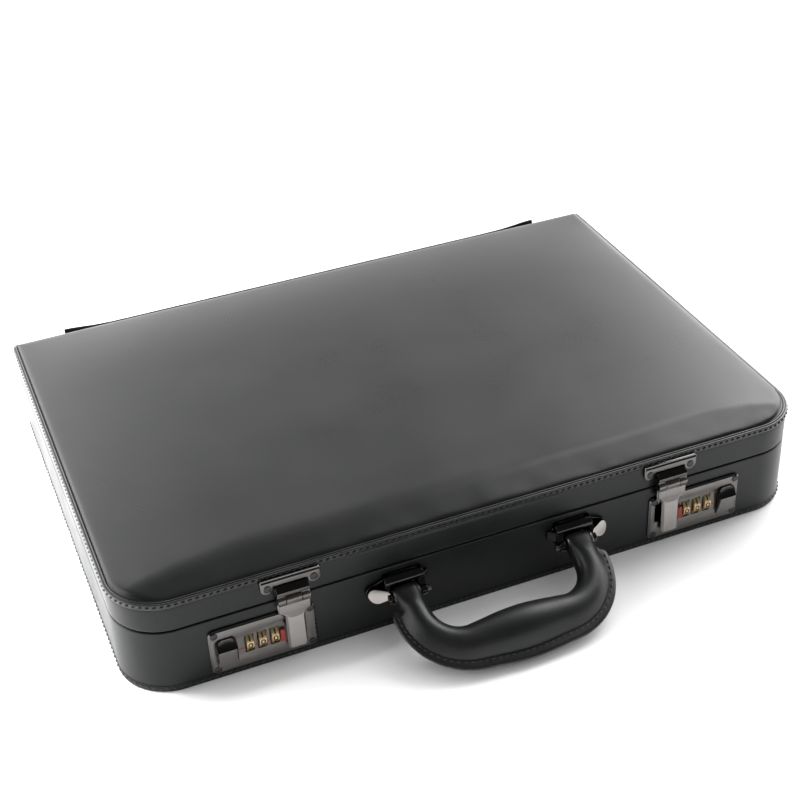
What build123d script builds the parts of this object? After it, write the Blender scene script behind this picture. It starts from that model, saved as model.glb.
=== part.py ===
from build123d import *
import os

# Hard leather attache case, closed and lying flat, with its handle resting on the ground.
# Frame: X across the width, +Y to the hinged back, +Z up, millimetres.
# Origin: centre of the underside.

# ---- driving dimensions -------------------------------------------------------------------
CASE_W = 440.0            # across the side walls
CASE_D = 306.0            # front wall to back wall
FRONT_R = 32.0            # front vertical corners
BACK_R = 4.0              # back vertical corners
MIN_R = 1.0               # smallest corner kept on an inset outline
BASE_TOP = 44.2           # rim of the lower half
LID_BOTTOM = 44.8         # rim of the upper half
SEAM_Z = 65.4             # top of the folded edge round the lid
CROWN = 5.6               # rise of the padded lid above that edge

SKIN = 1.2                # leather on the walls
WALL = 4.0                # wall boards
TURN = 1.0                # leather turned over the rims
BOARD = 3.0               # top and bottom boards
LINING = 1.0              # fabric lining
RIM_SET = 2.0             # lining stops this far from the rim
BIND_OUT = 0.6            # folded edge stands this far proud of the wall
BIND_IN = 2.2             # and reaches this far in
BIND_H = 3.0              # height of the folded edge
BOTTOM_SKIN = 1.2         # leather under the case

HINGE_W = 360.0           # piano hinge
HINGE_OFF = 2.6           # pin axis behind the back wall
HINGE_R = 2.2             # knuckle
HINGE_PIN_R = 1.0
HINGE_FIT = 0.05          # radial clearance of every small pin
LEAF_T = 0.8
LEAF_H = 12.0
KNUCKLES = 15
STRIP_W = 366.0           # leather strip over the hinge
STRIP_T = 2.4
STRIP_CLEAR = 5.5         # strip halves stop this far from the pin axis
STRIP_LOW_Z = 12.0

LOCK_X = 140.8            # centre of each lock plate
LOCK_W = 63.8
LOCK_Z0 = 4.8
LOCK_Z1 = 36.6
PLATE_T = 2.0
PLATE_R = 4.0
RIVET_R = 2.25
RIVET_H = 0.6
RIVET_DX = 28.6           # lock rivets from the plate's centre
RIVET_DZ = 12.6
BOX_W = 58.0              # lock case let into the front wall
BOX_Z0 = 8.0
BOX_Z1 = 34.0
BOX_BACK = 13.4           # depth behind the front wall
BOX_T = 1.0
NOTCH = (6.8, 14.0)       # width and height of the notch behind the hasp
THUMB_WINDOW = (162.8, 21.0, 13.6, 17.0)  # centre x, centre z, width, height
CATCH_WINDOW = (119.6, 24.2, 14.0, 13.6)
CATCH_WINDOW_LEFT = (121.8, 24.2, 9.0, 13.6)
WINDOW_R = 2.5
CATCH_R = 1.5

DIAL_R = 7.5
DIAL_W = 4.7
DIAL_X = 142.0            # middle wheel
DIAL_PITCH = 7.5
DIAL_Z = 21.2
DIAL_PROUD = 2.4          # wheels stand this far out of the plate
DIAL_BORE = 1.6
DIAL_GAP = 0.3            # round and beside each wheel
AXLE_R = 1.55
AXLE_X = (130.8, 153.4)
CHEEK_X = (130.9, 152.4)  # inner sides of the two cheeks that hold the axle
CHEEK_T = 0.9
GROOVES = 10
GROOVE_DEEP = 0.6

RESET_X = 129.9
RESET_W = 3.4
RESET_H = 9.4
RESET_Z = 20.4
RESET_PROUD = 1.8
RESET_DEEP = 0.2          # reaches this far behind the front wall

SLIDE_X0 = 156.8          # thumb piece
SLIDE_X1 = 168.6
SLIDE_Z0 = 11.6
SLIDE_Z1 = 25.6
SLIDE_PROUD = 5.4
STEM_X = (158.4, 165.4)
STEM_Z = (14.0, 24.0)
BOLT_X0 = 126.9
BOLT_Z = (29.8, 32.6)
BOLT_Y = (0.4, 2.4)       # behind the front wall
NOSE_W = 1.8
NOSE_Z0 = 26.6

HASP_X = 121.8
HASP_W = 10.8             # narrow part
HASP_SHOULDER_W = 19.2
HASP_Z0 = 10.2
HASP_NECK_Z = 33.5
HASP_SHOULDER_Z = 38.4
HASP_TOP_Z = 44.4
HASP_GAP = 0.3            # behind the hasp
HASP_T = 3.0
KNUCKLE_Y_OFF = 4.3       # hasp pin axis in front of the wall
KNUCKLE_Z = 47.25
KNUCKLE_R = 2.4
KNUCKLE_HALF = 9.7        # half length of the knuckle row
KNUCKLE_MID = 4.7         # half length of the hasp's own knuckle
HASP_PIN_R = 1.0
KEEPER_W = 36.2
KEEPER_TOP = 62.4
KEEPER_BAR_Z = 57.0
KEEPER_RIVET_DX = 13.8
KEEPER_RIVET_Z = 55.8
LUG_HALF = 2.8            # catch lug behind the hasp
LUG_Z = (20.0, 25.0)
LUG_DEEP = 1.9

HANDLE_TILT = 22.0        # handle below horizontal, resting on the ground
PIVOT_OFF = 9.0           # handle pin in front of the wall
PIVOT_Z = 28.0
ARM_X = 56.1              # arms at their pins
CORNER_X = 53.2           # where the arms' and the grip's centre lines meet
ARM_R = 8.3
GRIP_REACH = 40.6
GRIP_R = 12.6
BEND_R = 26.0
SWELL_HALF = 16.0         # half length of the fattest part
CORE_R = 3.0
EYE_R = 4.6
HANDLE_PIN_R = 1.6
EAR_IN = (42.6, 47.4)
EAR_OUT = (64.8, 67.2)
WELT_T = 2.4
WELT_OUT = 6.0            # stitched edge outside the padded grip
BRACKET = (53.6, 32.2, 28.0, 16.6)  # centre x, centre z, width, height
BRACKET_T = 1.5
LOBE_X = 73.2
LOBE_Z = 30.2
LOBE_R = 4.8

POCKET_X = 185.0          # half width of the document pocket
POCKET_Y = (-30.0, 132.0)
POCKET_H = 4.0
PEN_X = 60.0              # first pen loop
PEN_PITCH = 16.0
PEN_HALF = 7.0
PEN_Y = (-58.0, -40.0)
PEN_H = 6.0
PEN_R = 2.4

STAY_A = 35.0             # base pivot ahead of the hinge axis
STAY_B = 70.0             # lid pivot ahead of the hinge axis
STAY_DZ = 6.5             # pivots below and above the axis
LINK_W = 8.0
LINK_T = 1.2
STUD_R = 1.5

# ---- worked out from the above -------------------------------------------------------------
FRONT_Y = -CASE_D / 2
BACK_Y = CASE_D / 2
AXIS_Y = BACK_Y + HINGE_OFF
AXIS_Z = (BASE_TOP + LID_BOTTOM) / 2
INNER = SKIN + WALL                       # inset of the boards' inner face
PLATE_Y = FRONT_Y - PLATE_T               # front of the lock plates
KNUCKLE_Y = FRONT_Y - KNUCKLE_Y_OFF
DIAL_Y = PLATE_Y - DIAL_PROUD + DIAL_R
PIVOT_Y = FRONT_Y - PIVOT_OFF
BOARD_TOP = SEAM_Z - BIND_H               # top of the lid's board
LINER_X = CASE_W / 2 - INNER - LINING     # inner face of the side linings


# ---- helpers -------------------------------------------------------------------------------
def block(x0, x1, y0, y1, z0, z1):
    size = Box(x1 - x0, y1 - y0, z1 - z0)
    return Pos((x0 + x1) / 2, (y0 + y1) / 2, (z0 + z1) / 2) * size


def rod_x(x0, x1, y, z, radius):
    return Pos((x0 + x1) / 2, y, z) * Rot(0, 90, 0) * Cylinder(radius, x1 - x0)


def prism_x(points, x0, x1):
    """Outline given as (y, z) points, extruded along X."""
    face = make_face(Polyline(*points, close=True))
    return extrude(Plane.YZ.offset(x0) * face, amount=x1 - x0)


def on_front(y_back, sketch, thickness):
    """Sketch drawn in (x, z), standing on the plane y = y_back and growing forwards."""
    return extrude(Plane.XZ.offset(-y_back) * sketch, amount=thickness)


def outline(inset):
    """Plan of the case, drawn in by inset: round at the front, nearly square at the back."""
    plan = Rectangle(CASE_W - 2 * inset, CASE_D - 2 * inset)
    plan = fillet(plan.vertices().sort_by(Axis.Y)[:2], max(FRONT_R - inset, MIN_R))
    return fillet(plan.vertices().sort_by(Axis.Y)[-2:], max(BACK_R - inset, MIN_R))


def slab(inset, z0, z1):
    return extrude(Pos(0, 0, z0) * outline(inset), amount=z1 - z0)


def ring(outer, inner, z0, z1):
    return slab(outer, z0, z1) - slab(inner, z0, z1)


def flip(shape):
    """The same piece on the left half of the case."""
    return mirror(shape, about=Plane.YZ)


def dome(x, y_back, z, radius, height):
    """Low round rivet head on a front face."""
    head = on_front(y_back, Pos(x, z) * Circle(radius), height)
    return chamfer(head.edges().group_by(Axis.Y)[0], height * 0.5)


# ---- shells --------------------------------------------------------------------------------
def lock_openings():
    """Hole through the front wall for each lock case."""
    hole = block(
        LOCK_X - BOX_W / 2, LOCK_X + BOX_W / 2, FRONT_Y - 1, FRONT_Y + BOX_BACK, BOX_Z0, BOX_Z1
    )
    return hole + flip(hole)


def base_parts():
    holes = lock_openings()
    band = ring(0, SKIN, BIND_H, BASE_TOP) + ring(0, INNER, BASE_TOP - TURN, BASE_TOP)
    frame = ring(SKIN, INNER, BOTTOM_SKIN, BASE_TOP - TURN)
    lining_top = BASE_TOP - RIM_SET
    floor_z = BOTTOM_SKIN + BOARD
    lining = slab(INNER, floor_z, floor_z + LINING)
    lining += ring(INNER, INNER + LINING, floor_z, lining_top)
    return {
        "base_side_band": band - holes,
        "base_frame": frame - holes,
        "base_edge_binding": ring(-BIND_OUT, SKIN, 0.3, BIND_H),
        "base_bottom_cover": slab(SKIN, 0, BOTTOM_SKIN),
        "base_bottom_board": slab(INNER, BOTTOM_SKIN, floor_z),
        "base_lining": lining - holes,
    }


def crowned_pad():
    """Padded top of the lid: level with its folded edge, steeper there, then nearly flat."""
    steps = [(BIND_IN, 0.0), (6.0, 2.4), (18.0, 4.4), (60.0, CROWN)]
    pad = slab(BIND_IN, BOARD_TOP, SEAM_Z)
    for (inset_a, rise_a), (inset_b, rise_b) in zip(steps, steps[1:]):
        low = Pos(0, 0, SEAM_Z + rise_a) * outline(inset_a)
        high = Pos(0, 0, SEAM_Z + rise_b) * outline(inset_b)
        pad += loft([low, high], ruled=True)
    return pad


def lid_parts():
    band = ring(0, SKIN, LID_BOTTOM, BOARD_TOP)
    band += ring(0, INNER, LID_BOTTOM, LID_BOTTOM + TURN)
    under_board = BOARD_TOP - BOARD
    lining = slab(INNER, under_board - LINING, under_board)
    lining += ring(INNER, INNER + LINING, LID_BOTTOM + RIM_SET, under_board)
    return {
        "lid_side_band": band,
        "lid_frame": ring(SKIN, INNER, LID_BOTTOM + TURN, BOARD_TOP),
        "lid_edge_binding": ring(-BIND_OUT, BIND_IN, BOARD_TOP, SEAM_Z),
        "lid_top_board": slab(INNER, under_board, BOARD_TOP),
        "lid_top_cushion": crowned_pad(),
        "lid_lining": lining,
    }


def lid_organiser():
    """Document pocket and pen loops on the lid's lining."""
    roof = BOARD_TOP - BOARD - LINING
    pocket = block(-POCKET_X, POCKET_X, *POCKET_Y, roof - POCKET_H, roof)
    loops = None
    for index in range(3):
        x = PEN_X + PEN_PITCH * index
        loop = block(x - PEN_HALF, x + PEN_HALF, *PEN_Y, roof - PEN_H, roof)
        loop -= pen_space(x, roof)
        loops = loop if loops is None else loops + loop
    return {"lid_document_pocket": pocket, "lid_pen_loops": loops}


def pen_space(x, roof):
    """Round space that a pen fills in one loop."""
    length = 2 * (PEN_Y[1] - PEN_Y[0])
    return Pos(x, sum(PEN_Y) / 2, roof - PEN_H / 2) * Rot(90, 0, 0) * Cylinder(PEN_R, length)


# ---- back hinge ----------------------------------------------------------------------------
def knuckle_spans(first):
    pitch = HINGE_W / KNUCKLES
    for index in range(first, KNUCKLES, 2):
        start = -HINGE_W / 2 + index * pitch
        yield start + 0.2, start + pitch - 0.2


def hinge_leaf(side, first):
    """side is -1 for the leaf on the base and +1 for the leaf on the lid."""
    web = 1.9
    z_near = AXIS_Z + side * web
    z_far = AXIS_Z + side * (web + LEAF_H)
    low, high = sorted((z_near, z_far))
    leaf = block(-HINGE_W / 2, HINGE_W / 2, BACK_Y, BACK_Y + LEAF_T, low, high)
    low, high = sorted((AXIS_Z + side * 0.3, z_near))
    for x0, x1 in knuckle_spans(first):
        leaf += block(x0, x1, BACK_Y, AXIS_Y - 0.6, low, high)
        leaf += rod_x(x0, x1, AXIS_Y, AXIS_Z, HINGE_R)
    return leaf - rod_x(-HINGE_W, HINGE_W, AXIS_Y, AXIS_Z, HINGE_PIN_R + HINGE_FIT)


def hinge_parts():
    leaf_base = hinge_leaf(-1, 0)
    leaf_lid = hinge_leaf(1, 1)
    half = STRIP_W / 2
    lower = block(-half, half, BACK_Y, BACK_Y + STRIP_T, STRIP_LOW_Z, AXIS_Z - STRIP_CLEAR)
    upper = block(-half, half, BACK_Y, BACK_Y + STRIP_T, AXIS_Z + STRIP_CLEAR, SEAM_Z - 0.4)
    binding_room = ring(-BIND_OUT, 4 * BIND_OUT, BOARD_TOP, SEAM_Z)
    return {
        "hinge_leaf_base": leaf_base,
        "hinge_leaf_lid": leaf_lid,
        "hinge_pin": rod_x(-HINGE_W / 2, HINGE_W / 2, AXIS_Y, AXIS_Z, HINGE_PIN_R),
        "hinge_strip_lower": lower - leaf_base,
        "hinge_strip_upper": upper - leaf_lid - binding_room,
    }


# ---- combination lock ----------------------------------------------------------------------
def dial_centres():
    return [DIAL_X + DIAL_PITCH * step for step in (-1, 0, 1)]


def window(place, radius):
    """Round-cornered hole through the plate, given as centre x, centre z, width, height."""
    x, z, width, height = place
    sketch = Pos(x, z) * RectangleRounded(width, height, radius)
    return on_front(FRONT_Y + 1, sketch, PLATE_T + 2)


def lock_plate(catch):
    sketch = Pos(LOCK_X, (LOCK_Z0 + LOCK_Z1) / 2) * RectangleRounded(
        LOCK_W, LOCK_Z1 - LOCK_Z0, PLATE_R
    )
    plate = on_front(FRONT_Y, sketch, PLATE_T)
    plate = chamfer(plate.edges().group_by(Axis.Y)[0], 0.8)
    for x in dial_centres():
        half = DIAL_W / 2 + DIAL_GAP
        plate -= rod_x(x - half, x + half, DIAL_Y, DIAL_Z, DIAL_R + DIAL_GAP)
    plate -= window((RESET_X, RESET_Z, RESET_W + 0.4, RESET_H + 0.4), 1.6)
    plate -= window(THUMB_WINDOW, WINDOW_R)
    plate -= window(catch, CATCH_R)
    notch = Pos(HASP_X, LOCK_Z1) * Rectangle(*NOTCH)
    return plate - on_front(FRONT_Y + 1, notch, PLATE_T + 2)


def dial_axle():
    return rod_x(*AXLE_X, DIAL_Y, DIAL_Z, AXLE_R)


def lock_case():
    """Open-fronted steel box behind the plate, with two cheeks that hold the dial axle."""
    x0, x1 = LOCK_X - BOX_W / 2, LOCK_X + BOX_W / 2
    case = block(x0, x1, FRONT_Y, FRONT_Y + BOX_BACK, BOX_Z0, BOX_Z1)
    case -= block(
        x0 + BOX_T,
        x1 - BOX_T,
        FRONT_Y - 1,
        FRONT_Y + BOX_BACK - BOX_T,
        BOX_Z0 + BOX_T,
        BOX_Z1 - BOX_T,
    )
    back = FRONT_Y + BOX_BACK - BOX_T
    for x in CHEEK_X:
        case += block(x, x + CHEEK_T, DIAL_Y - 0.7, back, DIAL_Z - 3, DIAL_Z + 3)
    return case - dial_axle()


def dial(x):
    """Brass number wheel with a V groove between neighbouring digits."""
    wheel = rod_x(x - DIAL_W / 2, x + DIAL_W / 2, 0, 0, DIAL_R)
    for index in range(GROOVES):
        shape = [(DIAL_R + 1, -1.0), (DIAL_R + 1, 1.0), (DIAL_R - GROOVE_DEEP, 0)]
        cut = prism_x(shape, x - DIAL_W, x + DIAL_W)
        wheel -= Rot(360 / GROOVES * (index + 0.5), 0, 0) * cut
    wheel -= rod_x(x - DIAL_W, x + DIAL_W, 0, 0, DIAL_BORE)
    return Pos(0, DIAL_Y, DIAL_Z) * wheel


def reset_button():
    """Red peg that reaches just behind the plate."""
    peg = Pos(RESET_X, RESET_Z) * RectangleRounded(RESET_W, RESET_H, 1.5)
    button = on_front(FRONT_Y + RESET_DEEP, peg, PLATE_T + RESET_DEEP + RESET_PROUD)
    return chamfer(button.edges().group_by(Axis.Y)[0], 0.6)


def release_slider():
    """Scooped thumb piece, its stem through the plate, and the bolt that it draws back."""
    y_flush = PLATE_Y - 0.25
    y_proud = PLATE_Y - SLIDE_PROUD
    wedge = prism_x(
        [(y_flush, SLIDE_Z0), (y_flush, SLIDE_Z1), (y_proud, SLIDE_Z1), (y_flush - 0.7, SLIDE_Z0)],
        SLIDE_X0,
        SLIDE_X1,
    )
    scoop = prism_x(
        [
            (y_flush - 0.6, SLIDE_Z1 + 1),
            (y_flush - 0.6, SLIDE_Z1 - 5),
            (y_proud + 1.2, SLIDE_Z1 - 0.8),
            (y_proud + 0.9, SLIDE_Z1 + 1),
        ],
        SLIDE_X0 + 1.2,
        SLIDE_X1 - 1.2,
    )
    y0, y1 = FRONT_Y + BOLT_Y[0], FRONT_Y + BOLT_Y[1]
    stem = block(*STEM_X, y_flush, y1, *STEM_Z)
    riser = block(*STEM_X, y0, y1, STEM_Z[1], BOLT_Z[1])
    bolt = block(BOLT_X0, STEM_X[1], y0, y1, *BOLT_Z)
    nose = block(BOLT_X0, BOLT_X0 + NOSE_W, y0, y1, NOSE_Z0, BOLT_Z[0])
    return wedge - scoop + stem + riser + bolt + nose


def lock_rivets():
    rivets = None
    for dx in (-RIVET_DX, RIVET_DX):
        for dz in (-RIVET_DZ, RIVET_DZ):
            z = (LOCK_Z0 + LOCK_Z1) / 2 + dz
            head = dome(LOCK_X + dx, PLATE_Y, z, RIVET_R, RIVET_H)
            rivets = head if rivets is None else rivets + head
    return rivets + flip(rivets)


# ---- hasp and keeper -----------------------------------------------------------------------
def hasp():
    """Hanging latch: knuckle, wide shoulder, narrow bevelled tongue and catch lug."""
    half, wide = HASP_W / 2, HASP_SHOULDER_W / 2
    face = make_face(
        Polyline(
            (-half, HASP_Z0),
            (half, HASP_Z0),
            (half, HASP_NECK_Z),
            (wide, HASP_SHOULDER_Z),
            (wide, HASP_TOP_Z),
            (-wide, HASP_TOP_Z),
            (-wide, HASP_SHOULDER_Z),
            (-half, HASP_NECK_Z),
            close=True,
        )
    )
    y_back = PLATE_Y - HASP_GAP
    tongue = on_front(y_back, Pos(HASP_X, 0) * face, HASP_T)
    tongue = fillet(tongue.edges().filter_by(Axis.Y).sort_by(Axis.Z)[:2], 2.0)
    tongue = chamfer(tongue.edges().group_by(Axis.Y)[0], 0.9)
    tongue += block(
        HASP_X - KNUCKLE_MID,
        HASP_X + KNUCKLE_MID,
        KNUCKLE_Y - 0.9,
        KNUCKLE_Y + 1.6,
        HASP_TOP_Z - 0.5,
        KNUCKLE_Z,
    )
    tongue += rod_x(HASP_X - KNUCKLE_MID, HASP_X + KNUCKLE_MID, KNUCKLE_Y, KNUCKLE_Z, KNUCKLE_R)
    tongue += block(HASP_X - LUG_HALF, HASP_X + LUG_HALF, y_back, y_back + LUG_DEEP, *LUG_Z)
    bore = rod_x(HASP_X - 6, HASP_X + 6, KNUCKLE_Y, KNUCKLE_Z, HASP_PIN_R + HINGE_FIT)
    return tongue - bore


def keeper():
    """Plate on the lid with a ramp and two knuckles that carry the hasp."""
    bar = Pos(HASP_X, (KEEPER_BAR_Z + KEEPER_TOP) / 2) * RectangleRounded(
        KEEPER_W, KEEPER_TOP - KEEPER_BAR_Z, 1.6
    )
    plate = on_front(FRONT_Y, bar, PLATE_T)
    for side in (-1, 1):
        lobe = Pos(HASP_X + side * KEEPER_RIVET_DX, KEEPER_RIVET_Z) * Circle(3.9)
        plate += on_front(FRONT_Y, lobe, PLATE_T - 0.4)
    ramp_z0 = KNUCKLE_Z + KNUCKLE_R + 0.3
    ramp = prism_x(
        [
            (FRONT_Y, KEEPER_BAR_Z + 1),
            (PLATE_Y, KEEPER_BAR_Z + 1),
            (KNUCKLE_Y - 1.8, ramp_z0),
            (FRONT_Y, ramp_z0),
        ],
        HASP_X - KNUCKLE_HALF,
        HASP_X + KNUCKLE_HALF,
    )
    plate += ramp
    for x0, x1 in ((-KNUCKLE_HALF, -KNUCKLE_MID - 0.2), (KNUCKLE_MID + 0.2, KNUCKLE_HALF)):
        plate += block(HASP_X + x0, HASP_X + x1, KNUCKLE_Y - 1.8, FRONT_Y, KNUCKLE_Z, ramp_z0)
        plate += rod_x(HASP_X + x0, HASP_X + x1, KNUCKLE_Y, KNUCKLE_Z, KNUCKLE_R)
    return plate - rod_x(HASP_X - 12, HASP_X + 12, KNUCKLE_Y, KNUCKLE_Z, HASP_PIN_R)


def keeper_rivets():
    heads = None
    for side in (-1, 1):
        x = HASP_X + side * KEEPER_RIVET_DX
        head = dome(x, PLATE_Y + 0.4, KEEPER_RIVET_Z, 2.3, RIVET_H)
        head -= keeper()
        heads = head if heads is None else heads + head
    return heads + flip(heads)


def hasp_pin():
    return rod_x(HASP_X - KNUCKLE_HALF, HASP_X + KNUCKLE_HALF, KNUCKLE_Y, KNUCKLE_Z, HASP_PIN_R)


# ---- handle --------------------------------------------------------------------------------
def handle_place(shape):
    """From the handle's own plane, with the pins on the X axis, to its rest pose."""
    return Pos(0, PIVOT_Y, PIVOT_Z) * Rot(HANDLE_TILT, 0, 0) * shape


def arm_x(reach):
    """The arms lean in towards the grip."""
    return ARM_X + (CORNER_X - ARM_X) * reach / GRIP_REACH


def handle_path(start):
    return FilletPolyline(
        (-arm_x(start), -start),
        (-CORNER_X, -GRIP_REACH),
        (CORNER_X, -GRIP_REACH),
        (arm_x(start), -start),
        radius=BEND_R,
    )


def handle_tube(start, radius):
    path = handle_path(start)
    section = Plane(origin=path @ 0, z_dir=path % 0) * Circle(radius)
    return sweep(section, path=path)


def handle_core():
    """Steel core with an eye at each end for the handle pins."""
    core = handle_tube(2.0, CORE_R)
    for x in (-ARM_X, ARM_X):
        core += rod_x(x - ARM_R + 0.2, x + ARM_R - 0.2, 0, 0, EYE_R)
    for x in (-ARM_X, ARM_X):
        core -= rod_x(x - 12, x + 12, 0, 0, HANDLE_PIN_R + HINGE_FIT)
    return core


def handle_grip():
    """Padded leather over the core, fattest in the middle."""
    straight = CORNER_X - BEND_R
    profile = make_face(
        Polyline(
            (-straight, 0),
            (-straight, ARM_R),
            (-SWELL_HALF, GRIP_R),
            (SWELL_HALF, GRIP_R),
            (straight, ARM_R),
            (straight, 0),
            close=True,
        )
    )
    swell = Pos(0, -GRIP_REACH, 0) * revolve(profile, axis=Axis.X)
    eyes = EYE_R + 0.4
    return handle_tube(eyes, ARM_R) + swell - handle_core()


def welt_edge(offset):
    """Closed outline of the handle's plan, grown by offset outside the tube's centre line."""
    start, end = 8.0, GRIP_REACH + offset
    points = [
        (-arm_x(start) - offset, -start),
        (-CORNER_X - offset, -end),
        (CORNER_X + offset, -end),
        (arm_x(start) + offset, -start),
    ]
    plan = make_face(Polyline(*points, close=True))
    return fillet(plan.vertices().sort_by(Axis.Y)[:2], BEND_R + offset)


def handle_welt():
    """Flat stitched edge round the outside of the grip."""
    band = welt_edge(ARM_R + WELT_OUT) - welt_edge(ARM_R - 3.0)
    welt = extrude(band, amount=WELT_T / 2, both=True)
    welt -= Box(2 * CORNER_X, 2 * (GRIP_REACH - 6), 2 * WELT_T)
    return welt - handle_grip() - handle_core()


def handle_bracket():
    """Face plate with a drop-shaped lobe, a hood and two ears for the handle pin."""
    y_plate = FRONT_Y - BRACKET_T
    x, z, width, height = BRACKET
    body = Pos(x, z) * RectangleRounded(width, height, 3.0)
    lobe = Pos(LOBE_X, LOBE_Z) * Circle(LOBE_R)
    neck = Pos((x + width / 2 + LOBE_X) / 2, LOBE_Z + 0.8) * Rectangle(9.0, 7.6)
    bracket = on_front(FRONT_Y, body + neck + lobe, BRACKET_T)
    for x0, x1 in (EAR_IN, EAR_OUT):
        ear = prism_x(
            [
                (y_plate + 0.5, 39.0),
                (y_plate - 2.5, 38.0),
                (PIVOT_Y - 3.4, PIVOT_Z + 3.4),
                (PIVOT_Y - 3.4, PIVOT_Z - 2.2),
                (PIVOT_Y - 1.6, PIVOT_Z - 3.8),
                (PIVOT_Y + 2.2, PIVOT_Z - 3.8),
                (y_plate + 0.5, PIVOT_Z - 3.0),
            ],
            x0,
            x1,
        )
        bracket += ear
    hood = prism_x(
        [
            (y_plate + 0.5, 39.4),
            (y_plate - 3.6, 38.4),
            (y_plate - 4.6, 37.2),
            (y_plate - 3.4, 36.4),
            (y_plate + 0.5, 36.8),
        ],
        EAR_IN[0],
        EAR_OUT[1],
    )
    bracket += hood
    return bracket - handle_pin()


def handle_pin():
    return rod_x(EAR_IN[0] - 0.4, EAR_OUT[1] + 0.4, PIVOT_Y, PIVOT_Z, HANDLE_PIN_R)


def bracket_rivets():
    head = dome(LOBE_X, FRONT_Y - BRACKET_T, LOBE_Z, LOBE_R - 1.2, 1.4)
    return head + flip(head)


# ---- lid stays -----------------------------------------------------------------------------
def link(x0, x1, start, end, hole_start, hole_end):
    """Flat bar between two points given as (y, z), with a hole at each end."""
    (ya, za), (yb, zb) = start, end
    middle = Vector((ya + yb) / 2, (za + zb) / 2)
    length = ((yb - ya) ** 2 + (zb - za) ** 2) ** 0.5
    angle = Vector(1, 0, 0).get_signed_angle(Vector(yb - ya, zb - za, 0), Vector(0, 0, 1))
    bar = Pos(middle.X, middle.Y) * Rot(0, 0, angle) * SlotCenterToCenter(length, LINK_W)
    bar -= Pos(ya, za) * Circle(hole_start)
    bar -= Pos(yb, zb) * Circle(hole_end)
    return extrude(Plane.YZ.offset(x0) * bar, amount=x1 - x0)


def stay_parts():
    base_pivot = (AXIS_Y - STAY_A, AXIS_Z - STAY_DZ)
    lid_pivot = (AXIS_Y - STAY_B, AXIS_Z + STAY_DZ)
    elbow = (AXIS_Y - STAY_A - STAY_B, AXIS_Z)
    outer1 = LINER_X - 1.7
    outer0 = outer1 - LINK_T
    inner1 = outer0 - 0.5
    inner0 = inner1 - LINK_T
    fit = STUD_R + HINGE_FIT
    lower = link(outer0, outer1, base_pivot, elbow, fit, STUD_R)
    lower += rod_x(inner0 - 0.5, outer1, *elbow, STUD_R)
    lower += rod_x(inner0 - 1.3, inner0 - 0.4, *elbow, 3.0)
    upper = link(inner0, inner1, lid_pivot, elbow, fit, STUD_R + 0.4)
    base_stud = pivot_stud(base_pivot, outer0 - 1.2)
    lid_stud = pivot_stud(lid_pivot, inner0 - 1.2)
    return {
        "stay_lower_right": lower,
        "stay_lower_left": flip(lower),
        "stay_upper_right": upper,
        "stay_upper_left": flip(upper),
        "stay_base_pivots": base_stud + flip(base_stud),
        "stay_lid_pivots": lid_stud + flip(lid_stud),
    }


def pivot_stud(place, x_head):
    """Pad on the lining with a shouldered stud for one end of a link."""
    y, z = place
    pad = block(LINER_X - 1.2, LINER_X, y - 9, y + 9, z - 4, z + 4)
    stud = rod_x(x_head, LINER_X, y, z, STUD_R)
    return pad + stud + rod_x(x_head, x_head + 0.9, y, z, 2.8)


# ---- all sub-parts -------------------------------------------------------------------------
def both_sides(name, shape):
    return {name + "_right": shape, name + "_left": flip(shape)}


def all_parts():
    parts = base_parts()
    parts.update(lid_parts())
    parts.update(lid_organiser())
    parts.update(hinge_parts())
    parts["lock_plate_right"] = lock_plate(CATCH_WINDOW)
    parts["lock_plate_left"] = flip(lock_plate(CATCH_WINDOW_LEFT))
    parts.update(both_sides("lock_case", lock_case()))
    parts.update(both_sides("dial_axle", dial_axle()))
    parts.update(both_sides("reset_button", reset_button()))
    parts.update(both_sides("release_slider", release_slider()))
    for number, x in enumerate(dial_centres(), start=1):
        wheel = dial(x)
        parts[f"dial_right_{number}"] = wheel
        parts[f"dial_left_{number}"] = flip(wheel)
    parts["lock_rivets"] = lock_rivets()
    parts.update(both_sides("hasp", hasp()))
    parts.update(both_sides("hasp_pin", hasp_pin()))
    parts.update(both_sides("keeper", keeper()))
    parts["keeper_rivets"] = keeper_rivets()
    parts.update(both_sides("handle_bracket", handle_bracket()))
    parts.update(both_sides("handle_pin", handle_pin()))
    parts["bracket_rivets"] = bracket_rivets()
    parts["handle_core"] = handle_place(handle_core())
    parts["handle_grip"] = handle_place(handle_grip())
    parts["handle_welt"] = handle_place(handle_welt())
    parts.update(stay_parts())
    return parts


os.makedirs("parts", exist_ok=True)
for node, shape in all_parts().items():
    export_step(shape, f"parts/{node}.step")
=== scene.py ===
"""Looks of a hard black leather attache case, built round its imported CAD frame.

Lengths in this script are millimetres until a mesh is made. Places come from the CAD nodes'
boxes where a box gives them. The others are written out in the part's own frame.
"""

import math
import random
from contextlib import contextmanager

import bmesh
import bpy
from mathutils import Matrix, Vector, noise


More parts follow.
